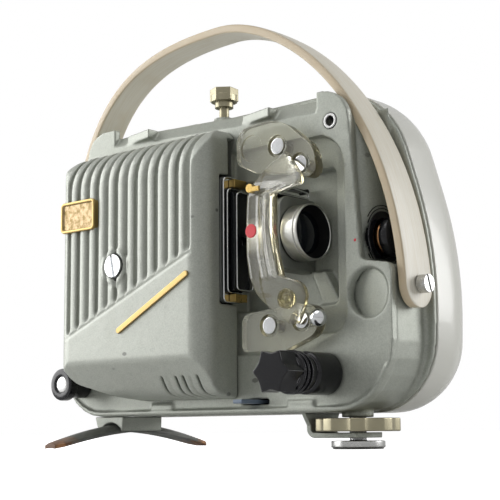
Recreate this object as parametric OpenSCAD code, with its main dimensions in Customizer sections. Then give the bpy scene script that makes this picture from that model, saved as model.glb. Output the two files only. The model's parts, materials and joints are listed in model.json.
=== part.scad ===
// Eight millimetre film projector: die-cast case, lamphouse, film gate, focusing lens and belt drive.
// Millimetres. Z is up, the lens points along -Y and the lamphouse is on the -X side.
// The origin lies on the table, in the middle of the front foot.

/* [Case] */
// Depth of the casting, from its left face to the drive cover
case_w = 30; // [28:1:34]
// Distance from the front foot back to the middle of the case
case_mid = 82; // [78:1:86]
// Half the length of the case at its foot
case_half = 113.5; // [110:0.5:116]
// How far each end of the case leans in towards its top
case_lean = 21.5; // [18.5:0.5:23.5]
// Height of the casting from its underside to its front top edge
case_h = 152; // [150:1:160]
// Rise of the top edge towards the rear
top_rise = 6; // [2:0.5:8]
// Height of the ears above the top edge
ear_rise = 3; // [2:0.5:5]
// Height of the front shelf above the underside
shelf_h = 67.5; // [65:0.5:70]
// Radius of the lower corners
corner_r = 32; // [24:1:36]
// Thickness of the left plate
plate_t = 4; // [3.5:0.5:5]
// Thickness of the perimeter wall
wall_t = 3.5; // [3:0.5:4.5]
// Clear height under the casting
base_h = 17; // [16:0.5:20]
// Bore of the bush in the front ear
ear_bore = 4.9; // [4:0.1:6]
// Depth and height of the slope along the top edge
slope_d = 5; // [3:0.5:5]
slope_h = 7.5; // [5:0.5:9]

/* [Drive cover] */
// Depth of the cover from the seam to its side face
cover_d = 40; // [39:1:46]
// Height of the cover from the underside of the case
cover_h = 162.5; // [161:0.5:166]
// How far the cover stands out past the front and rear of the case
cover_proud = 3.5; // [2:0.5:4]
// Wall of the cover
cover_t = 2.4; // [2:0.2:3.2]
// Radius of the cover's outer edge
cover_edge = 26; // [20:1:30]

/* [Lamphouse] */
// Depth of the lamphouse cover out from the case
lamp_d = 26; // [25:1:32]
// How far the lamphouse cover reaches forward past the gate wall
lamp_lap = 3.5; // [2:0.5:4]
// From the lamphouse cover's rear end to the rear of the case
lamp_short = 21.5; // [18.5:0.5:23.5]
// Height of the lamphouse cover's top above the underside of the case
lamp_top = 145; // [142:1:147]
// Wall of the lamphouse cover
lamp_t = 3; // [2.8:0.1:3.6]
// Distance from one rib to the next
rib_pitch = 7.5; // [7:0.1:8]
// Width of the grooves between the ribs
groove_w = 1.5; // [1.2:0.1:2]
// Depth of the grooves between the ribs
groove_d = 1.2; // [0.8:0.1:1.4]
// Number of grooves
grooves = 13; // [10:1:13]
// Diameter of the slotted screw's head
coin_d = 12; // [10:0.5:13]

/* [Lens] */
// Length of the recess, from its front edge back to the gate wall
recess_l = 71.5; // [71:0.5:73]
// Lens axis: distance to the left of the case's middle plane
lens_out = 17; // [16.5:0.5:18]
// Lens axis: height above the underside of the case
lens_h = 86; // [85:0.5:88]
// Diameter of the front ring
ring_d = 27.5; // [26:0.5:29]
// Diameter of the barrel in its block
barrel_d = 21; // [20:0.5:22]
// From the recess's front edge back to the block's front face
block_in = 27; // [25.5:0.5:28.5]
// Length of the block along the lens axis
block_l = 9.5; // [9:0.5:10]
// Height of the block
block_h = 36; // [34:1:38]
// Travel of the barrel for focusing
focus_travel = 6; // [4:0.5:7]

/* [Handle] */
// Width of the handle at its ends
handle_w = 22; // [20:1:24]
// Width of the handle at its top
handle_top_w = 18; // [16:1:20]
// Thickness of the handle
handle_t = 3; // [2.6:0.2:3.6]
// Height of the handle's top above the table
handle_top = 223.5; // [220:0.5:230]
// Length of the spacers behind the handle's ends
handle_gap = 3; // [2:0.5:4]
// Height of the handle's pivots above the underside of the case
pivot_h = 58; // [56:1:62]

/* [Feet] */
// Diameter of the scalloped wheel
wheel_d = 40; // [36:1:42]
// Diameter of the front pad
pad_d = 25.6; // [22:0.2:28]
// Diameter of the foot screw
foot_screw_d = 8; // [7:0.5:9]
// Half the width of the rear foot across the tips
foot_half = 57; // [50:1:62]
// Place of the rear foot behind the front foot
foot_rear = 157; // [150:1:162]

/* [Drive] */
// Main shaft: distance to the right of the case's middle plane
shaft_right = 2.5; // [2:0.25:2.5]
// Main shaft: height above the underside of the case
shaft_h = 82; // [81:0.5:84]
// Diameter of the main shaft
shaft_d = 4; // [3.5:0.1:4]
// Radius of the shutter
shutter_r = 27; // [25:0.5:28]
// Diameter of the motor
motor_d = 38; // [34:1:40]
// Running gap of shafts and screws in their holes, on the radius
run_gap = 0.05; // [0.03:0.01:0.08]

/* [Hidden] */
$fn = 48;
plate_x = -case_w / 2;
seam_x = case_w / 2;
side_x = seam_x + cover_d;
front_y = case_mid - case_half;
rear_y = case_mid + case_half;
front_top_y = front_y + case_lean;
rear_top_y = rear_y - case_lean;
top_z = base_h + case_h;
top_back_z = top_z + top_rise;
shelf_z = base_h + shelf_h;
ear_front_y = front_top_y + 20;
ear_back_y = rear_top_y - 19;
pivot_z = base_h + pivot_h;
lens_x = -lens_out;
lens_z = base_h + lens_h;
shaft_x = shaft_right;
shaft_z = base_h + shaft_h;
barrel_r = barrel_d / 2;
ring_r = ring_d / 2;

// Extrusions of a flat outline along each axis.
module along_x(x0, x1) { translate([x0, 0, 0]) rotate([90, 0, 90]) linear_extrude(x1 - x0) children(); }
module along_y(y0, y1) { translate([0, y1, 0]) rotate([90, 0, 0]) linear_extrude(y1 - y0) children(); }
module along_z(z0, z1) { translate([0, 0, z0]) linear_extrude(z1 - z0) children(); }

// Round rods along each axis, from one end to the other.
module rod_x(x0, x1, y, z, r) { translate([x0, y, z]) rotate([0, 90, 0]) cylinder(h = x1 - x0, r = r); }
module rod_y(y0, y1, x, z, r) { translate([x, y0, z]) rotate([-90, 0, 0]) cylinder(h = y1 - y0, r = r); }
module rod_z(z0, z1, x, y, r) { translate([x, y, z0]) cylinder(h = z1 - z0, r = r); }
module block(x, y, z) { translate([x[0], y[0], z[0]]) cube([x[1] - x[0], y[1] - y[0], z[1] - z[0]]); }

// Outlines: corner points, counter-clockwise, with a radius at each corner.
function unit(v) = v / norm(v);
function arc_at(a, b, c, r, n) = r < 0.01 ? [b] :
    let (u = unit(a - b), v = unit(c - b), half = acos(max(-1, min(1, u * v))) / 2,
         centre = b + unit(u + v) * r / sin(half),
         p = b + u * r / tan(half) - centre, q = b + v * r / tan(half) - centre,
         from = atan2(p.y, p.x), turn = atan2(q.y, q.x) - from,
         sweep = turn > 180 ? turn - 360 : turn < -180 ? turn + 360 : turn)
    [for (i = [0:n]) centre + r * [cos(from + sweep * i / n), sin(from + sweep * i / n)]];
function rounded(pts, rs, n = 6) =
    let (k = len(pts)) [for (i = [0:k - 1]) each arc_at(pts[(i + k - 1) % k], pts[i], pts[(i + 1) % k], rs[i], n)];
function edge_normal(a, b) = let (u = unit(b - a)) [-u.y, u.x];
function inset(pts, d) =
    let (k = len(pts)) [for (i = [0:k - 1])
        let (na = edge_normal(pts[(i + k - 1) % k], pts[i]), nb = edge_normal(pts[i], pts[(i + 1) % k]))
        pts[i] + (na + nb) * d / (1 + na * nb)];
function turns_in(pts, i) =
    let (k = len(pts), u = pts[i] - pts[(i + k - 1) % k], v = pts[(i + 1) % k] - pts[i]) u.x * v.y - u.y * v.x > 0;
function inset_radii(pts, rs, d) =
    [for (i = [0:len(pts) - 1]) rs[i] < 0.01 ? 0 : turns_in(pts, i) ? max(rs[i] - d, 0.4) : rs[i] + d];
function outline(pts, rs, d = 0, n = 6) = rounded(inset(pts, d), inset_radii(pts, rs, d), n);
// Radius of a shallow bend, drawn in where it would run past a reach on either side.
function cover_bend_r(a, b, c, r, reach) =
    let (u = unit(b - a), v = unit(c - b), turn = acos(max(-1, min(1, u * v)))) min(r, reach / tan(max(turn, 1) / 2));
function bezier(a, b, c, d, n) =
    [for (i = [0:n]) let (t = i / n, s = 1 - t) s * s * s * a + 3 * s * s * t * b + 3 * s * t * t * c + t * t * t * d];

// Left plate with its two ears, as seen from the side: y, z.
plate_pts = [[front_y, base_h], [rear_y, base_h], [rear_y, shelf_z],
             [rear_top_y + 1, top_back_z + ear_rise], [ear_back_y, top_back_z + ear_rise], [ear_back_y, top_back_z],
             [ear_front_y, top_z], [ear_front_y, top_z + ear_rise], [front_top_y + 2, top_z + ear_rise],
             [front_y + 17, shelf_z + 2.8], [front_y, shelf_z]];
plate_rs = [corner_r, corner_r, 20, 14, 0.8, 0.8, 0.8, 0.8, 17, 3, 4];
// The same without ears, for the wall behind the plate.
wall_pts = [[front_y, base_h], [rear_y, base_h], [rear_y, shelf_z], [rear_top_y, top_back_z],
            [front_top_y + 17.5, top_z], [front_top_y + 0.5, top_z - 23], [front_y + 20.5, shelf_z + 2.8],
            [front_y, shelf_z]];
wall_rs = [corner_r, corner_r, 20, 30, 8, 20, 3, 4];
// Drive cover, also the outline of the seam flange.
cover_half = case_half + cover_proud;
cover_pts = [[case_mid - cover_half, base_h], [case_mid + cover_half, base_h],
             [case_mid + cover_half + 3, base_h + 76], [rear_top_y + 2, base_h + cover_h],
             [front_top_y - 2, base_h + cover_h], [case_mid - cover_half - 3, base_h + 76]];
cover_bend = cover_bend_r(cover_pts[1], cover_pts[2], cover_pts[3], 200, 38);
cover_rs = [corner_r + 3, corner_r + 3, cover_bend, 49, 49, cover_bend];
// Recess round the lens: a shallow step, then a deep pocket.
recess_front = front_y + 26;
gate_y = recess_front + recess_l;
lamp_y0 = gate_y - lamp_lap;
lamp_y1 = rear_y - lamp_short;
step_pts = [[recess_front, base_h + 37], [recess_front + 18, base_h + 37], [recess_front + 30, base_h + 29],
            [gate_y, base_h + 29], [gate_y, base_h + 133], [recess_front, base_h + 133]];
step_rs = [9, 5, 5, 2, 2, 16];
step_floor = plate_x + 3;
pocket_pts = [[recess_front + 6.5, base_h + 51], [gate_y, base_h + 51], [gate_y, base_h + 117],
              [recess_front + 6.5, base_h + 117]];
pocket_rs = [3, 1, 1, 3];
pocket_floor = -3;
// Window in the plate, behind the lamphouse cover.
mirror_y = gate_y + 75;
window = [gate_y + 3, max(lamp_y1, mirror_y + 16) - 8];
window_z = [base_h + 31, base_h + 133];

knob_front = front_y + 7.5;
column_face = knob_front + 8;
front_knob_y = front_y + 38;
front_knob_z = base_h + 18;
rear_knob_y = rear_y - 16.5;
rear_knob_z = base_h + 18;
lever_y = gate_y - 14.5;
thumb_x = -3;
ear_y = front_top_y + 11.7;
ear_z = top_z - 12.8;
ear_bush_r = ear_bore / 2 + 1.3;
lug_y = [case_mid + 52.5, case_mid - 34];
function top_at(y) = top_z + top_rise * (y - ear_front_y) / (ear_back_y - ear_front_y);
pillar_y = [recess_front + 2.5, gate_y - 8, rear_y - 25.5];
pillar_z = [base_h + 43, base_h + 130, base_h + 75];
pillar_x = [step_floor + 3.5, step_floor + 3.5, plate_x + plate_t];
screw_r = 2.5;

// Line along the foot of the plate, round both lower corners
lip_t = 2.4;
function foot_line(up) = let (r = corner_r - 0.3, z = base_h + corner_r + up) concat(
    [for (a = [205:13:270]) [front_y + corner_r, z] + r * [cos(a), sin(a)]],
    [for (a = [270:13:335]) [rear_y - corner_r, z] + r * [cos(a), sin(a)]]);
function backwards(pts) = [for (i = [len(pts) - 1:-1:0]) pts[i]];
module main_casting() color("#9ea49c") {
    casting_body();
    // Web across the pocket, from under the lens down to its front corner
    along_x(plate_x + 5, pocket_floor + 1) polygon([[recess_front + 6, base_h + 50.5], [recess_front + 16, base_h + 48],
        [recess_front + 24.5, base_h + 68], [recess_front + 16, base_h + 67.5]]);
}
module casting_body() difference() {
    union() {
        along_x(plate_x, plate_x + plate_t) polygon(outline(plate_pts, plate_rs));
        along_x(plate_x + 1, seam_x) difference() {
            polygon(outline(wall_pts, wall_rs, 0.4));
            polygon(outline(wall_pts, wall_rs, wall_t));
        }
        // Flange that closes the front and top of the drive cover
        along_x(seam_x - 2.5, seam_x) difference() {
            polygon(outline(cover_pts, cover_rs, 0.6));
            polygon(outline(wall_pts, wall_rs, wall_t));
        }
        // Rounded column behind the ear, which carries the front shaft bearing
        intersection() {
            rod_z(shelf_z, top_z - 4, shaft_x + 1, column_face + 16, 16);
            along_x(plate_x + 1, seam_x) polygon([[column_face - 1, shelf_z - 1], [column_face + 9, shelf_z - 1],
                [column_face + 9, top_z], [column_face - 1, top_z]]);
        }
        // Backing of the recess
        along_x(plate_x, step_floor + 3.5) polygon(outline(step_pts, step_rs, -3));
        along_x(plate_x + 1, pocket_floor + 2.3) polygon(outline(pocket_pts, pocket_rs, -2.5));
        // Lip along the foot of the plate, dying out in the lower corners
        along_x(plate_x - 1.6, plate_x + 1)
            polygon(concat(foot_line(0), backwards(foot_line(lip_t))));
        for (y = [case_mid + 34, case_mid - 60])
            block([plate_x - 1.2, plate_x + 1], [y - 8, y + 8], [base_h + 3.6, base_h + 6]);
        for (y = lug_y) catch_lug(y, top_at(y) - 1.6);
        // Bosses
        rod_z(base_h - 2.2, base_h + 8, 0, 0, 7.5);
        rod_z(top_z - 6, top_z + 4.5, thumb_x, case_mid, 5.5);
        rod_y(handle_front + 0.9, front_y + 11, 0, pivot_z, 6);
        rod_y(rear_y - 11, handle_rear - 0.5, 0, pivot_z, 6);
    }
    recess_cuts();
    // Window for the lamp, with rounded corners
    along_x(plate_x - 1, plate_x + plate_t + 0.5) polygon(rounded([[window[0], window_z[0]],
        [window[1], window_z[0]], [window[1], window_z[1]], [window[0], window_z[1]]], [6, 6, 6, 6], 4));
    // Light path through the gate wall
    rod_y(gate_y - 1, gate_y + 4, lens_x, lens_z, 8);
    // Seat of the bush in the front ear
    rod_x(plate_x - 1, plate_x + plate_t + 3, ear_y, ear_z, ear_bush_r + run_gap);
    // Room for the handle behind the ear
    along_x(plate_x + plate_t + 0.1, handle_x + handle_w / 2 + 0.8) polygon(concat(
        [for (p = shift_in(front_bow, handle_t + 0.6)) if (p.y > shelf_z) p],
        [[case_mid, handle_top + 9], [front_y - 30, handle_top + 9], [front_y - 30, shelf_z + 9]]));
    // Pocket and bore of the inching knob, and the shallow arc round it
    rod_y(column_face - 1, column_face + 5, shaft_x, shaft_z, 9.5);
    rod_y(column_face - 20, column_face + 30, shaft_x, shaft_z, shaft_d / 2 + run_gap);
    // Finger dimple in the left face
    translate([plate_x - 23, front_y + 12.8, shelf_z - 13]) sphere(r = 25.5, $fn = 64);
    // Holes for the foot screw, the knobs, the handle screws, the lever and the thumb screw
    rod_z(base_h - 3, base_h + 9, 0, 0, foot_screw_d / 2 + run_gap);
    rod_x(plate_x - 3, plate_x + plate_t + 1, front_knob_y, front_knob_z, 3 + run_gap);
    rod_x(plate_x - 3, plate_x + plate_t + 1, rear_knob_y, rear_knob_z, 3 + run_gap);
    rod_y(handle_front - 1, front_y + 12, 0, pivot_z, screw_r + run_gap);
    rod_y(rear_y - 12, handle_rear + 1, 0, pivot_z, screw_r + run_gap);
    block([plate_x - 3, plate_x + plate_t + 1], [lever_y - 9, lever_y + 9], [base_h + 4.6, base_h + 7.4]);
    rod_z(top_z - 7, top_z + 8, thumb_x, case_mid, 2.6 + run_gap);
    // Slope along the top edge between the ears
    difference() {
        translate([plate_x, ear_front_y, top_z]) rotate([atan(top_rise / (ear_back_y - ear_front_y)), 0, 0])
            along_y(0, norm([ear_back_y - ear_front_y, top_rise])) polygon([[-9, 9], [-9, -slope_h],
                [0, -slope_h], [slope_d * (slope_h + 9) / slope_h, 9]]);
        for (y = lug_y) catch_lug(y, top_at(y) - 1.6);
    }
}
module recess_cuts() {
    along_x(plate_x - 1, step_floor) polygon(outline(step_pts, step_rs));
    along_x(plate_x - 1, pocket_floor) polygon(outline(pocket_pts, pocket_rs));
}
// Wedge on the top edge, deeper towards the front, which catches the case's lid
module catch_lug(y, z) {
    along_z(z - 5, z) polygon([[plate_x + 7, y - 10.8], [plate_x + 7, y + 10.8], [plate_x + 0.6, y + 10.8],
        [plate_x - 4, y - 10.8]]);
}

module rod_x_tube(x0, x1, y, z, r, bore) difference() {
    rod_x(x0, x1, y, z, r);
    rod_x(x0 - 1, x1 + 1, y, z, bore);
}
module ear_bush() color("#b9b9b2")
    rod_x_tube(plate_x - 0.4, plate_x + plate_t + 2.5, ear_y, ear_z, ear_bush_r, ear_bore / 2);

// Drive cover: rings of the outline, drawn in along a quarter round, closed by the side face.
cover_steps = 6;
function cover_ring(x, d) = [for (p = outline(cover_pts, cover_rs, d, 6)) [x, p.x, p.y]];
function cover_rings(t) = concat(
    [cover_ring(seam_x, t)],
    [for (i = [0:cover_steps]) let (a = 90 * i / cover_steps, r = cover_edge - t)
        cover_ring(side_x - cover_edge + r * sin(a), t + r * (1 - cos(a)))]);
module cover_shell() {
    outer = cover_rings(0);
    inner = cover_rings(cover_t);
    k = len(outer[0]);
    rings = len(outer);
    pts = concat([for (r = outer) each r], [for (r = inner) each r]);
    skin = [for (j = [0:rings - 2], i = [0:k - 1])
        [j * k + i, j * k + (i + 1) % k, (j + 1) * k + (i + 1) % k, (j + 1) * k + i]];
    lining = [for (j = [rings:2 * rings - 2], i = [0:k - 1])
        [(j + 1) * k + i, (j + 1) * k + (i + 1) % k, j * k + (i + 1) % k, j * k + i]];
    rim = [for (i = [0:k - 1]) [rings * k + i, rings * k + (i + 1) % k, (i + 1) % k, i]];
    side = [[for (i = [0:k - 1]) (rings - 1) * k + i]];
    back = [[for (i = [k - 1:-1:0]) (2 * rings - 1) * k + i]];
    polyhedron(points = pts, faces = [for (f = concat(skin, lining, rim, side, back)) [for (i = [len(f) - 1:-1:0]) f[i]]]);
}
module drive_cover() color("#e3e4dc") difference() {
    cover_shell();
    for (i = [0:2]) rod_x(side_x - cover_t - 1, side_x + 1, pillar_y[i], pillar_z[i], 2.2);
}
module cover_pillars() color("#8f9088") for (i = [0:2])
    rod_x_tube_end(pillar_x[i], side_x - cover_t - 0.2, pillar_y[i], pillar_z[i], 4, 2.05, 14);
module rod_x_tube_end(x0, x1, y, z, r, bore, depth) difference() {
    rod_x(x0, x1, y, z, r);
    rod_x(x1 - depth, x1 + 1, y, z, bore);
}
module cover_screws() color("#c9c9c4") for (i = [0:2]) difference() {
    union() {
        rod_x(side_x, side_x + 2.2, pillar_y[i], pillar_z[i], 4.6);
        rod_x(side_x - cover_t - 9, side_x + 1, pillar_y[i], pillar_z[i], 2);
    }
    block([side_x + 1.1, side_x + 3], [pillar_y[i] - 6, pillar_y[i] + 6], [pillar_z[i] - 0.6, pillar_z[i] + 0.6]);
}

// Lamphouse cover: three outlines crossed, hollowed, ribbed and slotted.
lamp_x = plate_x - lamp_d;
lamp_z1 = base_h + lamp_top;
lamp_z0 = base_h + 7.5;
lamp_section = [[plate_x, lamp_z0], [plate_x, lamp_z1], [lamp_x, lamp_z1], [lamp_x, base_h + 28],
                [lamp_x + 10, base_h + 10.5]];
lamp_section_rs = [0, 0, lamp_d - 3, 9, 9];
lamp_side = [[lamp_y0, lamp_z0], [lamp_y0 + 64, lamp_z0], [lamp_y1 - 10, base_h + 18], [lamp_y1, base_h + 34],
             [lamp_y1, lamp_z1], [lamp_y0, lamp_z1]];
lamp_side_rs = [3, 20, 12, 14, 18, 9];
lamp_plan = [[plate_x, lamp_y0], [plate_x, lamp_y1], [lamp_x, lamp_y1], [lamp_x, lamp_y0]];
lamp_plan_rs = [0, 0, 12, 10];
screw_y = gate_y + 60;
screw_z = base_h + 78;
function open_side(pts, d) = [for (p = inset(pts, d)) [p.x > plate_x - d - 0.01 ? plate_x + 1 : p.x, p.y]];
module lamp_body(d) intersection() {
    along_y(lamp_y0 - 1, lamp_y1 + 1)
        polygon(rounded(open_side(lamp_section, d), inset_radii(lamp_section, lamp_section_rs, d), 10));
    along_x(lamp_x - 1, plate_x + (d > 0 ? 1 : 0)) polygon(outline(lamp_side, lamp_side_rs, d, 8));
    along_z(lamp_z0 - 1, lamp_z1 + 1)
        polygon(rounded(open_side(lamp_plan, d), inset_radii(lamp_plan, lamp_plan_rs, d), 8));
}
module rib_grooves() intersection() {
    for (i = [0:grooves - 1]) let (w = i == 0 ? 2 * groove_w : groove_w, y = lamp_y0 + 10.5 + rib_pitch * i)
        along_y(y - w / 2, y + w / 2) difference() {
            polygon([[lamp_x - 2, lamp_z0], [plate_x + 2, lamp_z0], [plate_x + 2, lamp_z1 + 2],
                [lamp_x - 2, lamp_z1 + 2]]);
            polygon(rounded(open_side(lamp_section, groove_d),
                inset_radii(lamp_section, lamp_section_rs, groove_d), 10));
        }
    // The grooves end on a slant
    along_x(lamp_x - 3, plate_x + 3) polygon([[lamp_y0 + 6, base_h + 83], [lamp_y1 - 4, base_h + 41],
        [lamp_y1 + 2, lamp_z1 + 3], [lamp_y0 - 2, lamp_z1 + 3]]);
}
module lamphouse_cover() color("#b3b8b0") difference() {
    union() {
        difference() {
            lamp_body(0);
            lamp_body(lamp_t);
            rib_grooves();
            // Slanted border line under the ribs
            along_x(lamp_x - 1, lamp_x + 0.7) polygon([[lamp_y0 + 8, base_h + 79.5], [lamp_y1 - 3, base_h + 38.5],
                [lamp_y1 - 3, base_h + 40], [lamp_y0 + 8, base_h + 81]]);
            // Opening for the gate, stepped towards the case
            block([lens_x - 10.8, plate_x + 2], [lamp_y0 - 1, lamp_y0 + lamp_t + 1], [lens_z - 31.5, lens_z + 34.5]);
            block([lens_x - 4, plate_x + 2], [lamp_y0 - 1, lamp_y0 + lamp_t + 1], [lens_z + 34, lens_z + 54]);
            // Air slots under the body
            for (i = [0:5]) block([lamp_x + 5, plate_x - 5], [lamp_y0 + 8 + 5 * i, lamp_y0 + 9.6 + 5 * i],
                [lamp_z0 - 1, base_h + 20]);
        }
        rod_x(lamp_x - 0.8, lamp_x + lamp_t + 3, screw_y, screw_z, 9.5);
        block([lamp_x - 0.8, lamp_x + 1], [screw_y - 2, screw_y + 2], [screw_z - 12, screw_z - 8]);
    }
    rod_x(lamp_x - 2, lamp_x + 1, screw_y, screw_z, coin_d / 2 + 0.4);
    rod_x(lamp_x - 2, lamp_x + lamp_t + 5, screw_y, screw_z, 3 + run_gap);
}
module coin_screw() color("#c8c9c6") difference() {
    union() {
        rod_x(lamp_x - 1.6, lamp_x + 1, screw_y, screw_z, coin_d / 2);
        rod_x(lamp_x + 0.5, -12, screw_y, screw_z, 3);
    }
    translate([0, screw_y, screw_z]) rotate([-12, 0, 0])
        block([lamp_x - 2, lamp_x - 0.2], [-0.8, 0.8], [-coin_d, coin_d]);
}
// Plate bent round the rear corner of the lamphouse, with a raised border
function lamp_ring(d) = rounded(open_side(lamp_plan, d), inset_radii(lamp_plan, lamp_plan_rs, d), 8);
function plate_box(a, b) = let (y = lamp_y1 - 19, z = base_h + 108)
    [[y - a, z - b], [y + a, z - b], [y + a, z + b], [y - a, z + b]];
module name_plate() color("#c4a562") intersection() {
    along_x(lamp_x - 3, lamp_x + 13) polygon(rounded(plate_box(13.7, 8.5), [3, 3, 3, 3], 4));
    difference() {
        along_z(base_h + 90, base_h + 125) polygon(lamp_ring(-1.4));
        along_z(base_h + 89, base_h + 126) polygon(lamp_ring(0));
        intersection() {
            along_z(base_h + 89, base_h + 126) difference() {
                polygon(lamp_ring(-3));
                polygon(lamp_ring(-0.9));
            }
            along_x(lamp_x - 4, lamp_x + 13) polygon(rounded(plate_box(12.3, 7.1), [2, 2, 2, 2], 4));
        }
    }
}
module trim_bar() color("#c4a562") translate([0, lamp_y0 + 35, base_h + 56.5]) rotate([-27.5, 0, 0])
    along_x(lamp_x - 1.2, lamp_x) polygon(rounded([[-29, -1.5], [29, -1.5], [29, 1.5], [-29, 1.5]],
        [1.4, 1.4, 1.4, 1.4], 4));
module thumb_screw() color("#8f8768") {
    rod_z(top_z + 13.6, top_z + 17.2, thumb_x, case_mid, 7);
    translate([thumb_x, case_mid, top_z + 14]) rotate([0, 0, 8]) cylinder(h = 6.6, r = 7.6, $fn = 6);
    rod_z(top_z + 10.4, top_z + 14, thumb_x, case_mid, 4.9);
    rod_z(top_z - 4, top_z + 11, thumb_x, case_mid, 2.6);
}

// Handle: a bow of two curves in the side view, with a grooved back.
handle_x = 0;
handle_front = front_y - handle_gap;
handle_rear = rear_y + handle_gap;
bow_steps = 18;
front_bow = bezier([handle_front - handle_t, pivot_z - 12], [handle_front - handle_t, pivot_z + 93],
                   [case_mid - 44.5, handle_top], [case_mid, handle_top], bow_steps);
rear_bow = bezier([case_mid, handle_top], [case_mid + 80, handle_top], [handle_rear + handle_t, pivot_z + 121],
                  [handle_rear + handle_t, pivot_z - 12], bow_steps);
function bow() = concat(front_bow, [for (i = [1:bow_steps]) rear_bow[i]]);
function shift_in(pts, d) = [for (i = [0:len(pts) - 1])
    let (t = unit(pts[min(i + 1, len(pts) - 1)] - pts[max(i - 1, 0)])) pts[i] + d * [t.y, -t.x]];
function bow_band(a, b) = let (p = bow())
    concat(shift_in(p, b), backwards(shift_in(p, a)));
handle_ribs = 4;
module carry_handle() color("#d9cdb0") difference() {
    intersection() {
        union() {
            along_x(handle_x - handle_w / 2, handle_x + handle_w / 2) polygon(bow_band(0.6, handle_t));
            for (i = [0:handle_ribs]) let (w = handle_w / (handle_ribs + 1), x = handle_x - handle_w / 2 + i * w)
                along_x(x + 0.3, x + w - 0.3) polygon(bow_band(0, 1));
        }
        along_y(handle_front - 30, handle_rear + 30) polygon(concat(
            [for (a = [180:15:360]) [handle_x, pivot_z] + handle_w / 2 * [cos(a), sin(a)]],
            [[handle_x + handle_top_w / 2, handle_top + 2], [handle_x - handle_top_w / 2, handle_top + 2]]));
    }
    rod_y(handle_front - 10, handle_rear + 10, handle_x, pivot_z, screw_r + run_gap);
}
module pivot_screw() difference() {
    union() {
        rod_y(-4.8, 0, 0, 0, 4.3);
        rod_y(-1, handle_t + handle_gap + 6, 0, 0, screw_r);
    }
    rotate([0, -20, 0]) block([-0.6, 0.6], [-6, -3.6], [-5, 5]);
}
module handle_screws() color("#b4b4ae") {
    translate([handle_x, handle_front - handle_t, pivot_z]) pivot_screw();
    translate([handle_x, handle_rear + handle_t, pivot_z]) rotate([0, 0, 180]) pivot_screw();
}

// Film gate, from the lamp side towards the lens.
gate_x = [lens_x - 9.8, lens_x + 4.2];
module gate_sheet(y0, y1, x0, x1, z0, z1, r, hole) difference() {
    along_y(y0, y1) polygon(rounded([[x0, z0], [x1, z0], [x1, z1], [x0, z1]], [r, r, r, r], 4));
    block([lens_x - hole[0], lens_x + hole[0]], [y0 - 1, y1 + 1], [lens_z - hole[1], lens_z + hole[1]]);
}
module gate_bracket() color("#7b7d79")
    gate_sheet(gate_y - 2.8, gate_y, gate_x[0], step_floor - 0.3, lens_z - 30.5, lens_z + 33.5, 3, [5, 4]);
module gate_frame() color("#c9cbc9") gate_sheet(gate_y - 4.2, gate_y - 2.8, gate_x[0] + 0.6, gate_x[1],
    lens_z - 30.5, lens_z + 33, 4, [3.6, 3]);
module gate_plate() color("#15161a") {
    gate_sheet(gate_y - 5.6, gate_y - 4.2, gate_x[0] + 1.6, gate_x[1] - 1, lens_z - 26, lens_z + 27, 1.5, [2.7, 2]);
    for (z = [lens_z - 13, lens_z + 13]) rod_y(gate_y - 6.2, gate_y - 5, lens_x - 5.8, z, 1.2);
}
module pressure_plate() color("#1a1b1f") difference() {
    along_x(lens_x - 6, lens_x + 6) polygon(concat(
        [[gate_y - 6.4, lens_z + 25], [gate_y - 6.4, lens_z - 25]],
        [for (i = [0:10]) let (z = -25 + 5 * i) [gate_y - 8 - 2.6 * cos(z * 3.4), lens_z + z]]));
    block([lens_x - 2.7, lens_x + 2.7], [gate_y - 14, gate_y], [lens_z - 2, lens_z + 2]);
}
module gate_blocks() color("#b08a46") for (z = [lens_z - 28.5, lens_z + 29.7]) difference() {
    block([lens_x - 5, lens_x + 4], [gate_y - 8.4, gate_y - 4.2], [z - 2, z + 2]);
    block([lens_x - 3.6, lens_x + 4.2], [gate_y - 7, gate_y - 6], [z - 3, z + 3]);
}

// Clear film guides in front of the recess.
guide_x = [plate_x - 9, plate_x - 3.2];
channel_x = [plate_x - 21, guide_x[0]];
upper_pts = [[recess_front + 8, base_h + 110], [recess_front + 48, base_h + 118], [recess_front + 60, base_h + 124],
             [recess_front + 60, base_h + 142], [recess_front + 32, base_h + 143.5],
             [recess_front + 11, base_h + 126]];
upper_rs = [5, 8, 5, 8, 26, 14];
lower_pts = [[recess_front + 57, base_h + 30], [recess_front + 57, base_h + 48], [recess_front + 20, base_h + 52],
             [recess_front + 6, base_h + 48], [recess_front + 12, base_h + 36], [recess_front + 30, base_h + 29.5]];
lower_rs = [3, 5, 10, 7, 8, 8];
upper_screws = [[recess_front + 33.6, base_h + 129.6], [recess_front + 19.5, base_h + 118.6]];
lower_screws = [[recess_front + 40, base_h + 42], [recess_front + 20, base_h + 43.5]];
ball_at = [guide_x[0] - 1.4, recess_front + 8.2, base_h + 43.6];
ball_r = 4.2;
module guide_plate(pts, rs, screws) difference() {
    union() {
        along_x(guide_x[0], guide_x[1]) polygon(outline(pts, rs));
        for (s = screws) rod_x(guide_x[1] - 1, step_floor, s.x, s.y, 3);
    }
    for (s = screws) rod_x(guide_x[0] - 1, guide_x[0] + 2.6, s.x, s.y, 5.5);
    for (s = screws) rod_x(guide_x[0] - 1, step_floor + 1, s.x, s.y, 1.6);
}
module upper_guide() color("#b5ad7c", 0.55) difference() {
    guide_plate(upper_pts, upper_rs, upper_screws);
    rod_x(guide_x[0] - 1, guide_x[0] + 0.8, recess_front + 50, base_h + 131, 6.6);
}
module lower_guide() color("#b5ad7c", 0.55) difference() {
    guide_plate(lower_pts, lower_rs, lower_screws);
    translate(ball_at) sphere(r = ball_r + 0.3);
}
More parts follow.
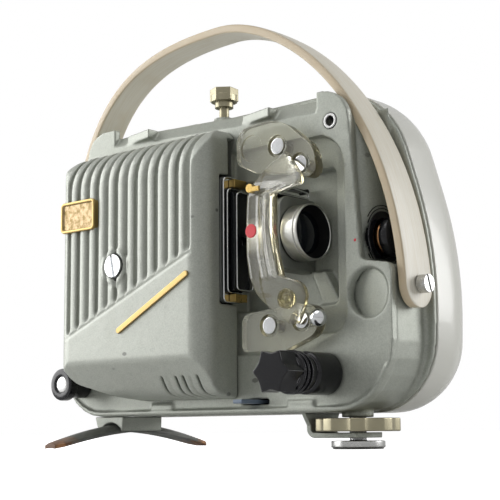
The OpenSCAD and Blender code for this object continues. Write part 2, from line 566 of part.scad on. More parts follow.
// Bow between the two plates, with a trough along its face for the film
function bow_edge(y, sag, a, b, n) = [for (i = [0:n]) let (t = i / n) [y + sag * sin(180 * t), a + (b - a) * t]];
guide_mid = recess_front + 26;
module centre_guide() color("#b5ad7c", 0.55) {
    along_x(channel_x[0] + 1.5, channel_x[0] + 5) polygon(concat(
        bow_edge(guide_mid + 11, 8, lens_z - 27, lens_z + 29, 12),
        [[guide_mid - 2, lens_z + 38], [guide_mid - 4, lens_z + 36]],
        bow_edge(guide_mid - 4, 3, lens_z + 24, lens_z - 22, 8), [[guide_mid - 6, lens_z - 38]]));
    along_x(channel_x[0], channel_x[0] + 2) polygon(concat(
        bow_edge(guide_mid + 5, 6, lens_z - 22, lens_z + 24, 10),
        bow_edge(guide_mid + 2, 6, lens_z + 24, lens_z - 22, 10)));
    along_x(channel_x[0], channel_x[0] + 2) polygon(concat(
        bow_edge(guide_mid - 1, 3.5, lens_z - 22, lens_z + 24, 10),
        bow_edge(guide_mid - 4, 3, lens_z + 24, lens_z - 22, 10)));
    along_x(channel_x[0] + 4.5, channel_x[1]) polygon([[guide_mid + 9, lens_z + 25], [guide_mid + 12, lens_z + 28.5],
        [guide_mid - 2, lens_z + 38], [guide_mid - 4, lens_z + 36], [guide_mid - 3.6, lens_z + 24]]);
    along_x(channel_x[0] + 4.5, channel_x[1]) polygon([[guide_mid + 12, lens_z - 27], [guide_mid + 10, lens_z - 21.5],
        [guide_mid - 3.6, lens_z - 20.5], [guide_mid - 6, lens_z - 38]]);
}
module guide_screws() color("#d3d5d6") {
    for (s = concat(upper_screws, lower_screws)) {
        rod_x(guide_x[0] + 0.4, guide_x[0] + 2.6, s.x, s.y, 4.1);
        rod_x(guide_x[0] + 2, step_floor - 0.3, s.x, s.y, 1.5);
    }
    translate(ball_at) sphere(r = ball_r);
}
module marker_dot() color("#e0303c") rod_x(channel_x[0] + 0.7, channel_x[0] + 1.5, guide_mid + 15, lens_z + 1, 3.4);
module guide_hook() color("#b5944e") {
    rod_x(channel_x[0] - 1.2, channel_x[0] + 1.5, guide_mid + 14, lens_z + 21.5, 2.2);
    block([channel_x[0] - 1.2, channel_x[0]], [guide_mid + 8, guide_mid + 14], [lens_z + 19.6, lens_z + 22]);
}

// Lens in its block.
block_x = [lens_x - 13.5, pocket_floor];
module lens_block() color("#7d807b") difference() {
    along_y(block_front, block_front + block_l) polygon(rounded([[block_x[0], lens_z - block_h / 2],
        [block_x[1], lens_z - block_h / 2], [block_x[1], lens_z + block_h / 2], [block_x[0], lens_z + block_h / 2]],
        [7, 1, 1, 7], 8));
    rod_y(block_front - 1, block_front + block_l + 1, lens_x, lens_z, barrel_r + run_gap);
}
block_front = recess_front + block_in;
lens_front = block_front - 10.5;
barrel_back = block_front + block_l + focus_travel + 8.5;
module lens_barrel() color("#c6c7c3") difference() {
    union() {
        rod_y(lens_front, block_front - 0.5, lens_x, lens_z, ring_r);
        rod_y(block_front - 1, barrel_back, lens_x, lens_z, barrel_r);
    }
    translate([lens_x, lens_front - 0.01, lens_z]) rotate([-90, 0, 0])
        cylinder(h = 4.01, r1 = ring_r - 1, r2 = ring_r - 3.2);
    rod_y(lens_front + 3, block_front - 3, lens_x, lens_z, ring_r - 3.2);
    rod_y(block_front - 4, barrel_back + 1, lens_x, lens_z, barrel_r - 1.6);
    // Fine knurl behind the ring
    for (i = [0:35]) translate([lens_x, 0, lens_z]) rotate([0, 10 * i, 0])
        block([-0.35, 0.35], [block_front - 7, block_front - 1.2], [ring_r - 0.35, ring_r + 1]);
}
module glass(y, r, t, sag) translate([lens_x, y, lens_z]) rotate([-90, 0, 0])
    rotate_extrude() polygon(concat([[0, t], [0, -sag]],
        [for (i = [1:8]) [r * i / 8, -sag * (1 - pow(i / 8, 2))]], [[r, t]]));
module front_glass() color("#39424d", 0.5) glass(lens_front + 5, ring_r - 3.2, 2.4, 1.6);
module rear_glass() color("#39424d", 0.5) glass(barrel_back - 5, barrel_r - 1.6, 2, 1.2);
module lens_clip() color("#c9cbcc") {
    clip_z = lens_z + block_h / 2;
    along_y(block_front + 1, block_front + 6) difference() {
        polygon(rounded([[block_x[0] + 1, clip_z], [block_x[1] - 3, clip_z], [block_x[1] - 3, clip_z + 5],
            [block_x[0] + 1, clip_z + 5]], [1, 1, 1, 2.4], 4));
        polygon(rounded([[block_x[0] + 2.2, clip_z + 1.2], [block_x[1] + 1, clip_z + 1.2],
            [block_x[1] + 1, clip_z + 3.8], [block_x[0] + 2.2, clip_z + 3.8]], [0.6, 0.4, 0.4, 1.2], 4));
    }
    rod_y(block_front + 1, block_front + 6, block_x[1] - 4, clip_z + 4.4, 1.3);
}

// Knobs on the left face.
knob_r = 10;
module control_knob() color("#1b1c1f") {
    rod_x(plate_x - 17, plate_x - 0.4, front_knob_y, front_knob_z, knob_r);
    rod_x(plate_x - 21, plate_x - 17, front_knob_y, front_knob_z, knob_r - 1.2);
    for (i = [0:2]) rod_x(plate_x - 24 - 3 * i, plate_x - 21.8 - 3 * i, front_knob_y, front_knob_z, knob_r - 0.3);
    rod_x(plate_x - 30, plate_x - 20, front_knob_y, front_knob_z, knob_r - 1.4);
    translate([plate_x - 41, front_knob_y, front_knob_z]) rotate([0, 90, 0]) cylinder(h = 11.5, r = knob_r, $fn = 6);
    rod_x(plate_x - 1, plate_x + plate_t + 3, front_knob_y, front_knob_z, 3);
}
module control_switch() color("#4a3b2c") rod_x_tube(plate_x + plate_t, plate_x + 9.8, front_knob_y, front_knob_z,
    9, 3 + run_gap);
module rear_knob() color("#1d1e21") {
    difference() {
        rod_x(plate_x - 17, plate_x - 11.5, rear_knob_y, rear_knob_z, 8.8);
        rod_x(plate_x - 18, plate_x - 16.2, rear_knob_y, rear_knob_z, 4.9);
    }
    rod_x(plate_x - 12, plate_x - 0.4, rear_knob_y, rear_knob_z, 7.2);
    rod_x(plate_x - 1, plate_x + plate_t + 3, rear_knob_y, rear_knob_z, 3);
}
module rear_switch() color("#4a3b2c") rod_x_tube(plate_x + plate_t, plate_x + 9.8, rear_knob_y, rear_knob_z,
    7, 3 + run_gap);
module frame_lever() color("#7f8994") {
    block([plate_x - 13, plate_x + 8], [lever_y - 3, lever_y + 3], [base_h + 5, base_h + 7]);
}

// Drive.
shaft_end = gate_y + 28;
module inching_knob() color("#1b1c1f") difference() {
    union() {
        rod_y(knob_front, knob_front + 7.4, shaft_x, shaft_z, 9);
        for (i = [0:17]) translate([shaft_x, 0, shaft_z]) rotate([0, 20 * i, 0])
            rod_y(knob_front + 0.6, knob_front + 6.8, 8.7, 0, 0.6);
    }
    rod_y(knob_front + 2, knob_front + 8, shaft_x, shaft_z, shaft_d / 2);
}
module inching_collar() color("#b0713f") difference() {
    rod_y(knob_front + 7.4, column_face + 4, shaft_x, shaft_z, 6.5);
    rod_y(knob_front + 7, column_face + 5, shaft_x, shaft_z, shaft_d / 2);
    for (a = [0:60:300]) translate([shaft_x, 0, shaft_z]) rotate([0, a, 0])
        rod_y(knob_front + 9, column_face + 5, 7.4, 0, 1.6);
}
module main_shaft() color("#a9aaa6") rod_y(knob_front + 2, shaft_end, shaft_x, shaft_z, shaft_d / 2);
bearing_y = [recess_front + 22, gate_y - 9];
module shaft_bearings() color("#a5834a") for (y = bearing_y) difference() {
    block([pocket_floor + 2.3, shaft_x + 6], [y, y + 8], [shaft_z - 6, shaft_z + 6]);
    rod_y(y - 1, y + 9, shaft_x, shaft_z, shaft_d / 2 + run_gap);
}
shutter_y = gate_y + 5;
module shutter() color("#33353a") difference() {
    union() {
        along_y(shutter_y, shutter_y + 1) difference() {
            translate([shaft_x, shaft_z]) circle(r = shutter_r, $fn = 96);
            for (a = [0, 120, 240]) translate([shaft_x, shaft_z]) polygon(concat(
                [for (t = [0:10:60]) 11 * [cos(a + t), sin(a + t)]],
                [for (t = [60:-10:0]) (shutter_r + 2) * [cos(a + t), sin(a + t)]]));
        }
        rod_y(shutter_y, shutter_y + 5, shaft_x, shaft_z, 4.5);
    }
    rod_y(shutter_y - 1, shutter_y + 6, shaft_x, shaft_z, shaft_d / 2);
}
pulley_y = gate_y + 22;
pulley_r = 12;
motor_x = 27;
motor_z = base_h + 33;
motor_y = gate_y + 32;
motor_l = 50;
small_r = 5;
module vee(y, x, z, r, bore) difference() {
    translate([x, y, z]) rotate([-90, 0, 0]) rotate_extrude()
        polygon([[bore, 0], [r, 0], [r - 2, 1.6], [r - 2, 3.4], [r, 5], [bore, 5]]);
}
module shaft_pulley() color("#8d8f8c") vee(pulley_y, shaft_x, shaft_z, pulley_r, shaft_d / 2);
// Belt: a band round both pulleys, tangent to each
belt_d = [motor_x - shaft_x, motor_z - shaft_z];
belt_a = atan2(belt_d.y, belt_d.x);
belt_b = acos((pulley_r - small_r) / norm(belt_d));
function belt_loop(g) = concat(
    [for (i = [0:16]) let (a = belt_a + belt_b + (360 - 2 * belt_b) * i / 16)
        [shaft_x, shaft_z] + (pulley_r - 2 + g) * [cos(a), sin(a)]],
    [for (i = [0:10]) let (a = belt_a - belt_b + 2 * belt_b * i / 10)
        [motor_x, motor_z] + (small_r - 2 + g) * [cos(a), sin(a)]]);
module drive_belt() color("#3a2c22") along_y(pulley_y + 1.8, pulley_y + 3.2) difference() {
    polygon(belt_loop(1.8));
    polygon(belt_loop(0.3));
}
module motor() color("#3b4046") difference() {
    union() {
        rod_y(motor_y, motor_y + motor_l, motor_x, motor_z, motor_d / 2);
        rod_y(motor_y - 4, motor_y + motor_l + 2, motor_x, motor_z, 7);
    }
    rod_y(motor_y - 5, motor_y + motor_l + 3, motor_x, motor_z, 2 + run_gap);
}
module motor_rotor() color("#a9aaa6") {
    rod_y(pulley_y - 1, motor_y + motor_l + 16, motor_x, motor_z, 2);
    vee(pulley_y, motor_x, motor_z, small_r, 1.5);
}
fan_y = motor_y + motor_l + 4;
module cooling_fan() color("#6d7276") difference() {
    union() {
        rod_y(fan_y, fan_y + 1.2, motor_x, motor_z, 20);
        rod_y(fan_y, fan_y + 11, motor_x, motor_z, 5);
        for (i = [0:11]) translate([motor_x, 0, motor_z]) rotate([0, 30 * i, 0])
            block([-0.5, 0.5], [fan_y + 1, fan_y + 11], [6 - 1.5, 19.5]);
    }
    rod_y(fan_y - 1, fan_y + 12, motor_x, motor_z, 2);
}
motor_seat = base_h + wall_t;
module motor_bracket() color("#7d807c") difference() {
    union() {
        block([7, 22], [motor_y + 6, motor_y + 40], [motor_seat, motor_seat + 2]);
        for (y = [motor_y + 6, motor_y + 36])
            block([7, motor_x + 6], [y, y + 4], [motor_seat, motor_z - 8]);
    }
    rod_y(motor_y - 1, motor_y + motor_l + 1, motor_x, motor_z, motor_d / 2);
}
core_y = [14, 48];
module transformer() color("#5b4b3a") {
    block([-3, 33], core_y, [motor_seat, motor_seat + 7]);
    block([-3, 33], core_y, [motor_seat + 30, motor_seat + 37]);
    for (x = [-3, 11.5, 26]) block([x, x + 7], core_y, [motor_seat + 6, motor_seat + 31]);
    block([4.5, 25.5], [core_y[0] - 5, core_y[1] + 5], [motor_seat + 8, motor_seat + 29]);
}

// Lamp and its light path.
lamp_y = gate_y + 42;
lamp_r = 12;
module lamp() color("#e8ecf0", 0.4) translate([lens_x, lamp_y, 0]) rotate_extrude() polygon(concat(
    [[0, lens_z - 22], [6.8, lens_z - 22], [6.8, lens_z - 18]],
    [for (i = [0:6]) let (a = -90 + 15 * i) [lamp_r * cos(a * 0.9) * 0.999, lens_z - 4 + lamp_r * sin(a)]],
    [for (i = [1:6]) let (a = 15 * i) [lamp_r * cos(a), lens_z + 10 + lamp_r * sin(a)]]));
module lamp_base() color("#b9a36a") {
    rod_z(lens_z - 38, lens_z - 22, lens_x, lamp_y, 7);
    rod_z(lens_z - 41, lens_z - 38, lens_x, lamp_y, 3);
}
module lamp_holder() color("#8b8d88") {
    difference() {
        rod_z(lens_z - 43, lens_z - 28, lens_x, lamp_y, 9.5);
        rod_z(lens_z - 41, lens_z - 27, lens_x, lamp_y, 7.1);
    }
    block([lens_x - 3, plate_x + plate_t + 3], [lamp_y - 5, lamp_y + 5], [lens_z - 46, lens_z - 43]);
    block([plate_x + plate_t, plate_x + plate_t + 3], [lamp_y - 5, lamp_y + 5], [base_h + 5, lens_z - 43]);
}
module reflector() color("#c3c6c7") {
    translate([lens_x, mirror_y, lens_z]) rotate([-90, 0, 0]) rotate_extrude() polygon(concat(
        [for (i = [0:8]) let (a = 5 * i) [24 * sin(a), 24 * cos(a) - 24]],
        [for (i = [8:-1:0]) let (a = 5 * i) [25.4 * sin(a), 25.4 * cos(a) - 24]]));
    rod_y(mirror_y + 1, mirror_y + 6, lens_x, lens_z, 3);
    block([lens_x - 3, 4.8], [mirror_y + 4, mirror_y + 6], [lens_z - 3, lens_z + 3]);
}
condenser_y = gate_y + 12;
module condenser() color("#dfe6ea", 0.4) translate([lens_x, condenser_y, lens_z]) rotate([-90, 0, 0])
    rotate_extrude() polygon(concat([[0, -1.5]], [[10, -1.5]],
        [for (i = [0:6]) let (t = i / 6) [10 * (1 - t), 4.5 * sin(90 * t)]]));
module condenser_ring() color("#6f726f") {
    difference() {
        rod_y(condenser_y - 1.5, condenser_y + 1.5, lens_x, lens_z, 12);
        rod_y(condenser_y - 3, condenser_y + 3, lens_x, lens_z, 10);
    }
    block([plate_x + plate_t, plate_x + plate_t + 2], [condenser_y - 1.5, condenser_y + 1.5],
        [lens_z + 10, window_z[1] + 6]);
}
shield_x = 4.8;
module heat_shield() color("#a4a7a3") difference() {
    union() {
        block([shield_x, shield_x + 1], [motor_y, rear_y - corner_r - 1], [motor_seat, pillar_z[1] - 6]);
        rod_x(-16, shield_x + 0.5, screw_y, screw_z, 4.5);
    }
    rod_x(-17, -9, screw_y, screw_z, 3 + run_gap);
}

// Feet.
flange_z = 5.2;
strip_t = 2.5;
bend_y = wheel_d / 2 + 0.6 + strip_t;
lobes = 8;
// Bent strip: a flange under the wheel, a bend and a wall up to the casting
module foot_bracket() color("#90958d") difference() {
    intersection() {
        along_x(-15, 15) polygon(rounded([[-10, flange_z], [bend_y, flange_z], [bend_y, base_h],
            [bend_y - strip_t, base_h], [bend_y - strip_t, flange_z + strip_t], [-10, flange_z + strip_t]],
            [0, 4.5, 0, 0, 2, 0], 6));
        along_y(-12, bend_y + 1) polygon([[-14, base_h], [-10, flange_z + 6], [-10, flange_z - 1],
            [10, flange_z - 1], [10, flange_z + 6], [13, base_h]]);
        along_z(flange_z - 1, base_h) polygon(rounded([[-15, -10], [15, -10], [15, bend_y + 1],
            [-15, bend_y + 1]], [14, 14, 0, 0], 8));
    }
    rod_z(flange_z - 1, flange_z + 4, 0, 0, foot_screw_d / 2 + run_gap);
}
module foot_wheel() color("#a39a75") difference() {
    rod_z(flange_z + 3, base_h - 2.6, 0, 0, wheel_d / 2);
    for (i = [0:lobes - 1]) rotate([0, 0, 360 * (i + 0.3) / lobes]) rod_z(0, base_h, wheel_d / 2 + 9.4, 0, 11);
    rod_z(0, base_h, 0, 0, foot_screw_d / 2 + run_gap);
}
module foot_screw() color("#c6c8c8") {
    rod_z(0, 0.8, 0, 0, pad_d / 2 - 0.8);
    rod_z(0.8, 3.9, 0, 0, pad_d / 2);
    rod_z(3.5, base_h + 14, 0, 0, foot_screw_d / 2);
}
// The rear foot is a dished strip, bowed down to both tips; the bracket is arched over it.
foot_w = 7.6;
foot_dish = 3;
foot_t = 2.2;
crown_z = base_h - 3.4;
saddle = [for (i = [0:8]) let (y = foot_w + 0.7 - i * (2 * foot_w + 0.9) / 8)
    [foot_rear + y, crown_z + 0.3 - foot_dish * pow(y / foot_w, 2)]];
module rear_foot_bracket() color("#90958d") along_x(plate_x + 0.2, seam_x - 0.2) polygon(concat(
    [[foot_rear - 9.8, base_h], [foot_rear - 9.4, base_h - 7.6], [foot_rear - foot_w - 0.3, base_h - 7.8]],
    [for (i = [8:-1:0]) saddle[i]],
    [[foot_rear + 11, base_h - 5.4], [foot_rear + 12.8, base_h]]));
// Height of the crown and half width of the strip along its length
function foot_crown(x) = crown_z - (crown_z - foot_t - 0.8) * pow(abs(x) / foot_half, 1.7);
function foot_dip(x) = foot_dish - (foot_dish - 0.8) * pow(abs(x) / foot_half, 2);
function foot_side(x) = let (e = max(0, abs(x) - foot_half + 9) / 9) foot_w - 3.6 * (1 - sqrt(max(0, 1 - e * e)));
function foot_ring(x, n) = concat(
    [for (i = [0:n]) let (u = 2 * i / n - 1)
        [x, foot_rear + u * foot_side(x), foot_crown(x) - foot_dip(x) * u * u - foot_t * (1 - 0.25 * u * u)]],
    [for (i = [n:-1:0]) let (u = 2 * i / n - 1)
        [x, foot_rear + u * foot_side(x), foot_crown(x) - foot_dip(x) * u * u]]);
module rear_foot() color("#6a6f68") {
    steps = 28;
    rings = [for (i = [0:steps]) foot_ring(-foot_half + 2 * foot_half * i / steps, 8)];
    k = len(rings[0]);
    walls = [for (j = [0:steps - 1], i = [0:k - 1])
        [j * k + i, (j + 1) * k + i, (j + 1) * k + (i + 1) % k, j * k + (i + 1) % k]];
    polyhedron(points = [for (r = rings) each r],
        faces = concat([for (w = walls) [w[0], w[3], w[2], w[1]]],
            [[for (i = [k - 1:-1:0]) i]], [[for (i = [0:k - 1]) steps * k + i]]));
}

main_casting();
ear_bush();
drive_cover();
cover_pillars();
cover_screws();
lamphouse_cover();
coin_screw();
name_plate();
trim_bar();
thumb_screw();
carry_handle();
handle_screws();
gate_bracket();
gate_plate();
gate_frame();
pressure_plate();
gate_blocks();
upper_guide();
centre_guide();
lower_guide();
guide_screws();
marker_dot();
guide_hook();
lens_block();
lens_barrel();
front_glass();
rear_glass();
lens_clip();
control_knob();
control_switch();
rear_knob();
rear_switch();
inching_knob();
inching_collar();
frame_lever();
main_shaft();
shaft_bearings();
shutter();
shaft_pulley();
drive_belt();
motor();
motor_rotor();
cooling_fan();
motor_bracket();
transformer();
lamp();
lamp_base();
lamp_holder();
reflector();
condenser();
condenser_ring();
heat_shield();
foot_bracket();
foot_wheel();
foot_screw();
rear_foot_bracket();
rear_foot();
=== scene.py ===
"""Looks of a small portable film projector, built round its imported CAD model.

Run as a script it makes the whole scene. The pieces are operators, listed in the sidebar's Projector tab.
"""

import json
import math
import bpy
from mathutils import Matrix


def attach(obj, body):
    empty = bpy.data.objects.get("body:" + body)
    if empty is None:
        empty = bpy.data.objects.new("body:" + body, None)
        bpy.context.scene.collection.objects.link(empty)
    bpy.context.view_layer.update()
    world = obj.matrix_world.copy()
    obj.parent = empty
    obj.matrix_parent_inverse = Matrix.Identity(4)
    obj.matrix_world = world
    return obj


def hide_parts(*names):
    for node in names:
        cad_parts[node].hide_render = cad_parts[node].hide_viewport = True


bl_info = {
    "name": "Film Projector",
    "version": (1, 0, 0),
    "blender": (4, 5, 0),
    "location": "View3D > Sidebar > Projector",
    "description": "Finishes a film projector round its CAD frame",
    "category": "Add Mesh",
}

import bmesh
import bpy
from bpy.props import FloatProperty, FloatVectorProperty, PointerProperty
from mathutils import Matrix, Vector

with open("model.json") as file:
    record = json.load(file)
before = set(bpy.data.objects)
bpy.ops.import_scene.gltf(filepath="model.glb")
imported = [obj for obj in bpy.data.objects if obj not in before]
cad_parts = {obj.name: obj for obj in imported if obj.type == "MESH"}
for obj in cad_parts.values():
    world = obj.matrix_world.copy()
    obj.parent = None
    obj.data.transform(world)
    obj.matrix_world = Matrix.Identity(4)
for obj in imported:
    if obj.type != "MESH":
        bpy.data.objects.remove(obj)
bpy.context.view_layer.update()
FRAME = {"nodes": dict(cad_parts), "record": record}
NODES = FRAME["nodes"]
BODIES = FRAME["record"]["behaviour"]["bodies"]
BODY_OF = {node: body for body, members in BODIES.items() for node in members}
SLOT_OF = {part["node"]: part["material_slot"] for part in FRAME["record"]["subparts"]}
MM = 0.001

# The left plate's outer face, the main shaft's axis and the two ways that things point, in millimetres
PLATE_X = -15
SHAFT_X = 2.5
SHAFT_Z = 99
BACKWARD = (0, 1, 0)
LEFTWARD = (-1, 0, 0)


# Shader maths

class Value:
    """A socket in a node tree. Python arithmetic on it adds Math nodes."""

    def __init__(self, tree, socket):
        self.tree = tree
        self.socket = socket

    def math(self, operation, *others):
        inputs = dict(enumerate((self, *others)))
        return add_node(self.tree, "ShaderNodeMath", {"operation": operation}, inputs)

    def __add__(self, other):
        return self.math("ADD", other)

    def __sub__(self, other):
        return self.math("SUBTRACT", other)

    def __mul__(self, other):
        return self.math("MULTIPLY", other)

    def __radd__(self, other):
        return self.math("ADD", other)

    def __rmul__(self, other):
        return self.math("MULTIPLY", other)

    def __rsub__(self, other):
        return self.math("MULTIPLY", -1.0).math("ADD", other)

    def above(self, low, high):
        """0 below low, 1 above high, and a smooth ramp between."""
        return add_node(self.tree, "ShaderNodeMapRange", {"interpolation_type": "SMOOTHSTEP"},
                        {0: self, 1: low, 2: high})


def feed(tree, place, item):
    """Puts a number, colour or link into a socket."""
    if isinstance(item, Value):
        tree.links.new(item.socket, place)
    else:
        place.default_value = item


def add_node(tree, kind, settings=None, inputs=None, output=0):
    """Adds any node: its settings first, then the values or links of its sockets."""
    node = tree.nodes.new(kind)
    for key, value in (settings or {}).items():
        setattr(node, key, value)
    for socket, item in (inputs or {}).items():
        feed(tree, node.inputs[socket], item)
    return Value(tree, node.outputs[output])


class Finish:
    """A material under construction, with its Principled shader."""

    def __init__(self, name, color, roughness, **sockets):
        self.material = bpy.data.materials.new(name)
        self.material.use_nodes = True
        self.tree = self.material.node_tree
        self.shader = self.tree.nodes["Principled BSDF"]
        self.put("Base Color", rgba(color))
        self.put("Roughness", roughness)
        for socket, value in sockets.items():
            self.put(socket.replace("_", " ").title().replace("Ior", "IOR"), value)

    def put(self, socket, item):
        feed(self.tree, self.shader.inputs[socket], item)

    def add(self, kind, settings=None, inputs=None, output=0):
        return add_node(self.tree, kind, settings, inputs, output)

    def place(self, scale=(1, 1, 1)):
        """Object coordinates, stretched where a pattern runs along an axis."""
        spot = self.add("ShaderNodeTexCoord", output="Object")
        return self.add("ShaderNodeMapping", {}, {"Vector": spot, "Scale": scale})

    def axis(self, letter):
        """One Object coordinate, in metres."""
        return self.add("ShaderNodeSeparateXYZ", {}, {0: self.place()}, letter)

    def noise(self, scale, detail, roughness=0.5, where=None):
        return self.add("ShaderNodeTexNoise", {}, {
            "Vector": where or self.place(), "Scale": scale, "Detail": detail, "Roughness": roughness})

    def cells(self, scale, where):
        """Distance to the nearest of many scattered points."""
        return self.add("ShaderNodeTexVoronoi", {}, {"Vector": where, "Scale": scale})

    def stored(self):
        """The mark that a piece stores on its points, 0 or 1."""
        return self.add("ShaderNodeAttribute", {"attribute_name": "side"}, output=2)

    def mix(self, factor, one, other):
        """Colour one where the factor is 0, the other where it is 1."""
        return self.add("ShaderNodeMix", {"data_type": "RGBA"}, {0: factor, 6: one, 7: other}, 2)

    def bump(self, height, distance, strength, edge=0.0):
        """Normal from a height, and with an edge radius from rounded edges too."""
        inputs = {"Height": height, "Distance": distance, "Strength": strength}
        if edge:
            inputs["Normal"] = self.soft_edges(edge)
        self.put("Normal", self.add("ShaderNodeBump", {}, inputs))

    def soft_edges(self, radius):
        return self.add("ShaderNodeBevel", {"samples": 6}, {"Radius": radius})

    def highlit_edges(self, radius, low=0.02, high=0.1):
        """1 along edges, where the rounded normal leaves the real one, and 0 on open surfaces: the mask for
        painted highlights on edges.
        """
        normal = self.add("ShaderNodeNewGeometry", output="Normal")
        match = self.add("ShaderNodeVectorMath", {"operation": "DOT_PRODUCT"},
                         {0: self.soft_edges(radius), 1: normal}, "Value")
        return (1.0 - match).above(low, high)

    def crevice_shade(self, reach):
        """1 deep in slots and corners, 0 in the open: the mask for painted shade."""
        open_share = self.add("ShaderNodeAmbientOcclusion", {"samples": 4}, {"Distance": reach}, "AO")
        return (1.0 - open_share).above(0.3, 0.75)


def rgba(color):
    return (*color[:3], 1.0)


def shade(color, *factors):
    """The colour times one factor, or times one for each channel."""
    return rgba([channel * factor for channel, factor in zip(color, factors * 3)])


FINISHES = {}


def finish_named(name):
    """Each finish is made once, the first time that a piece asks for it."""
    if name not in FINISHES:
        if name in METALS:
            made = metal(name, *METALS[name])
        elif name in PAINTS:
            made = painted(name, *PAINTS[name])
        else:
            made = MAKERS[name]()
        FINISHES[name] = made.material
    return FINISHES[name]


def enamel_speckle(name, color):
    """Hammertone enamel: a fine light and dark speckle with chips down to grey metal."""
    rough = 0.42
    f = Finish(name, color, rough, metallic=0.3)
    fine = f.noise(1500, 3, 0.6)
    broad = f.noise(260, 3, 0.55)
    speck = fine.above(0.36, 0.66)
    dapple = broad.above(0.3, 0.72)
    tone = f.mix(speck, shade(color, 0.86), shade(color, 1.07))
    tone = f.mix(dapple * 0.35, tone, shade(color, 1.12))
    grime = f.noise(28, 4, 0.6).above(0.55, 0.8) * 0.22
    tone = f.mix(grime, tone, shade(color, 0.74, 0.73, 0.66))
    chips = (0.16 - f.cells(95, f.place(scale=(1, 0.7, 1.2)))).above(0.0, 0.05)
    sparse = f.noise(17, 2).above(0.56, 0.66)
    tone = f.mix(chips * sparse * 0.75, tone, rgba((0.10, 0.10, 0.09)))
    # Painted highlight: a lighter tone along the edges, broken up by the speckle
    edge_highlight = f.highlit_edges(0.0006, 0.03, 0.12) * fine.above(0.3, 0.6)
    tone = f.mix(edge_highlight * 0.4, tone, shade(color, 1.5))
    # Painted shade: much darker deep in slots and corners
    tone = f.mix(f.crevice_shade(0.003) * 0.6, tone, shade(color, 0.3))
    f.put("Base Color", tone)
    f.put("Roughness", rough + (speck - 0.5) * 0.14 + grime * 0.3)
    f.bump(fine * 0.5 + broad, 0.00022, 0.5, edge=0.0008)
    return f


def hammertone():
    return enamel_speckle("hammertone", colors().hammertone)


def lamphouse_paint():
    return enamel_speckle("lamphouse_paint", colors().lamphouse)


def cream_enamel():
    """Smooth glossy enamel with the faintest ripple."""
    color = colors().cream
    f = Finish("cream_enamel", color, 0.24, coat_weight=0.35, coat_roughness=0.08)
    cloud = f.noise(22, 3)
    f.put("Base Color", f.mix(cloud.above(0.35, 0.7) * 0.35, rgba(color), shade(color, 0.94)))
    f.put("Roughness", 0.2 + cloud * 0.12)
    f.bump(f.noise(320, 2), 0.00008, 0.3)
    return f


def handle_plastic():
    """Ivory plastic, yellowed in fine streaks along its length."""
    color = colors().ivory
    f = Finish("handle_plastic", color, 0.36, coat_weight=0.15, coat_roughness=0.2)
    along = f.place(scale=(1, 0.02, 0.02))
    streak = f.noise(2400, 3, 0.7, along)
    broad = f.noise(420, 2, 0.5, along)
    amber = shade(color, 0.86, 0.80, 0.68)
    tone = f.mix(streak.above(0.35, 0.7) * 0.6, rgba(color), amber)
    tone = f.mix(broad.above(0.45, 0.75) * 0.4, tone, shade(color, 1.06))
    stain = f.noise(40, 3).above(0.58, 0.75) * 0.35
    tone = f.mix(stain, tone, shade(color, 0.85, 0.78, 0.66))
    brown = shade((1.0, 0.81, 0.54), color[0] * 0.84)
    tone = f.mix(f.stored() * (0.75 + streak * 0.25), tone, brown)
    f.put("Base Color", tone)
    f.put("Roughness", 0.32 + streak * 0.18)
    f.bump(streak, 0.00012, 0.5)
    return f


def clear_plastic():
    """Clear moulding, aged to an olive gold along its edges."""
    f = Finish("clear_plastic", colors().clear, 0.06, transmission_weight=0.9, ior=1.4, coat_weight=0.3)
    haze = f.noise(60, 3)
    aged = f.stored() * (0.7 + haze * 0.3)
    f.put("Base Color", f.mix(aged, rgba(colors().clear), rgba(colors().clear_edge)))
    f.put("Roughness", 0.03 + haze.above(0.5, 0.9) * 0.1)
    f.bump(f.noise(150, 2), 0.0002, 0.35)
    return f


EDGE_RADIUS = 0.0004


def metal(name, color, rough, scratch, scale=600):
    """Machined or plated metal with fine marks."""
    f = Finish(name, color, rough, metallic=1.0)
    marks = f.noise(scale, 3, 0.6)
    cloud = f.noise(70, 3)
    f.put("Roughness", rough + (marks - 0.5) * scratch + (cloud - 0.5) * scratch)
    tone = f.mix(cloud.above(0.4, 0.8) * 0.4, rgba(color), shade(color, 0.82))
    # Painted shade: nearly black deep in slots and corners
    f.put("Base Color", f.mix(f.crevice_shade(0.0018) * 0.85, tone, shade(color, 0.12)))
    f.bump(marks, 0.00005, 0.3, edge=EDGE_RADIUS)
    return f


def painted(name, color, rough, shine=0.5):
    """Plain enamel or moulded plastic with a faint grain."""
    f = Finish(name, color, rough)
    grain = f.noise(900, 3)
    cloud = f.noise(60, 4).above(0.4, 0.8)
    f.put("Base Color", f.mix(cloud * 0.4, rgba(color), shade(color, 0.8)))
    f.put("Roughness", rough + (grain - 0.5) * 0.12)
    f.put("Specular IOR Level", shine)
    f.bump(grain, 0.00008, 0.35, edge=EDGE_RADIUS)
    return f


# Metals: colour, roughness, how far scratches change it and, on coarse ones, their grain
METALS = {
    "brass": ((0.46, 0.32, 0.11), 0.3, 0.2),
    "copper": ((0.50, 0.26, 0.12), 0.3, 0.2),
    "chrome": ((0.72, 0.73, 0.74), 0.12, 0.08),
    "steel": ((0.56, 0.56, 0.55), 0.28, 0.15),
    "alloy": ((0.62, 0.62, 0.58), 0.34, 0.15),
    "cast_alloy": ((0.32, 0.33, 0.31), 0.5, 0.15, 400),
    "khaki_metal": ((0.36, 0.33, 0.23), 0.4, 0.2, 300),
}

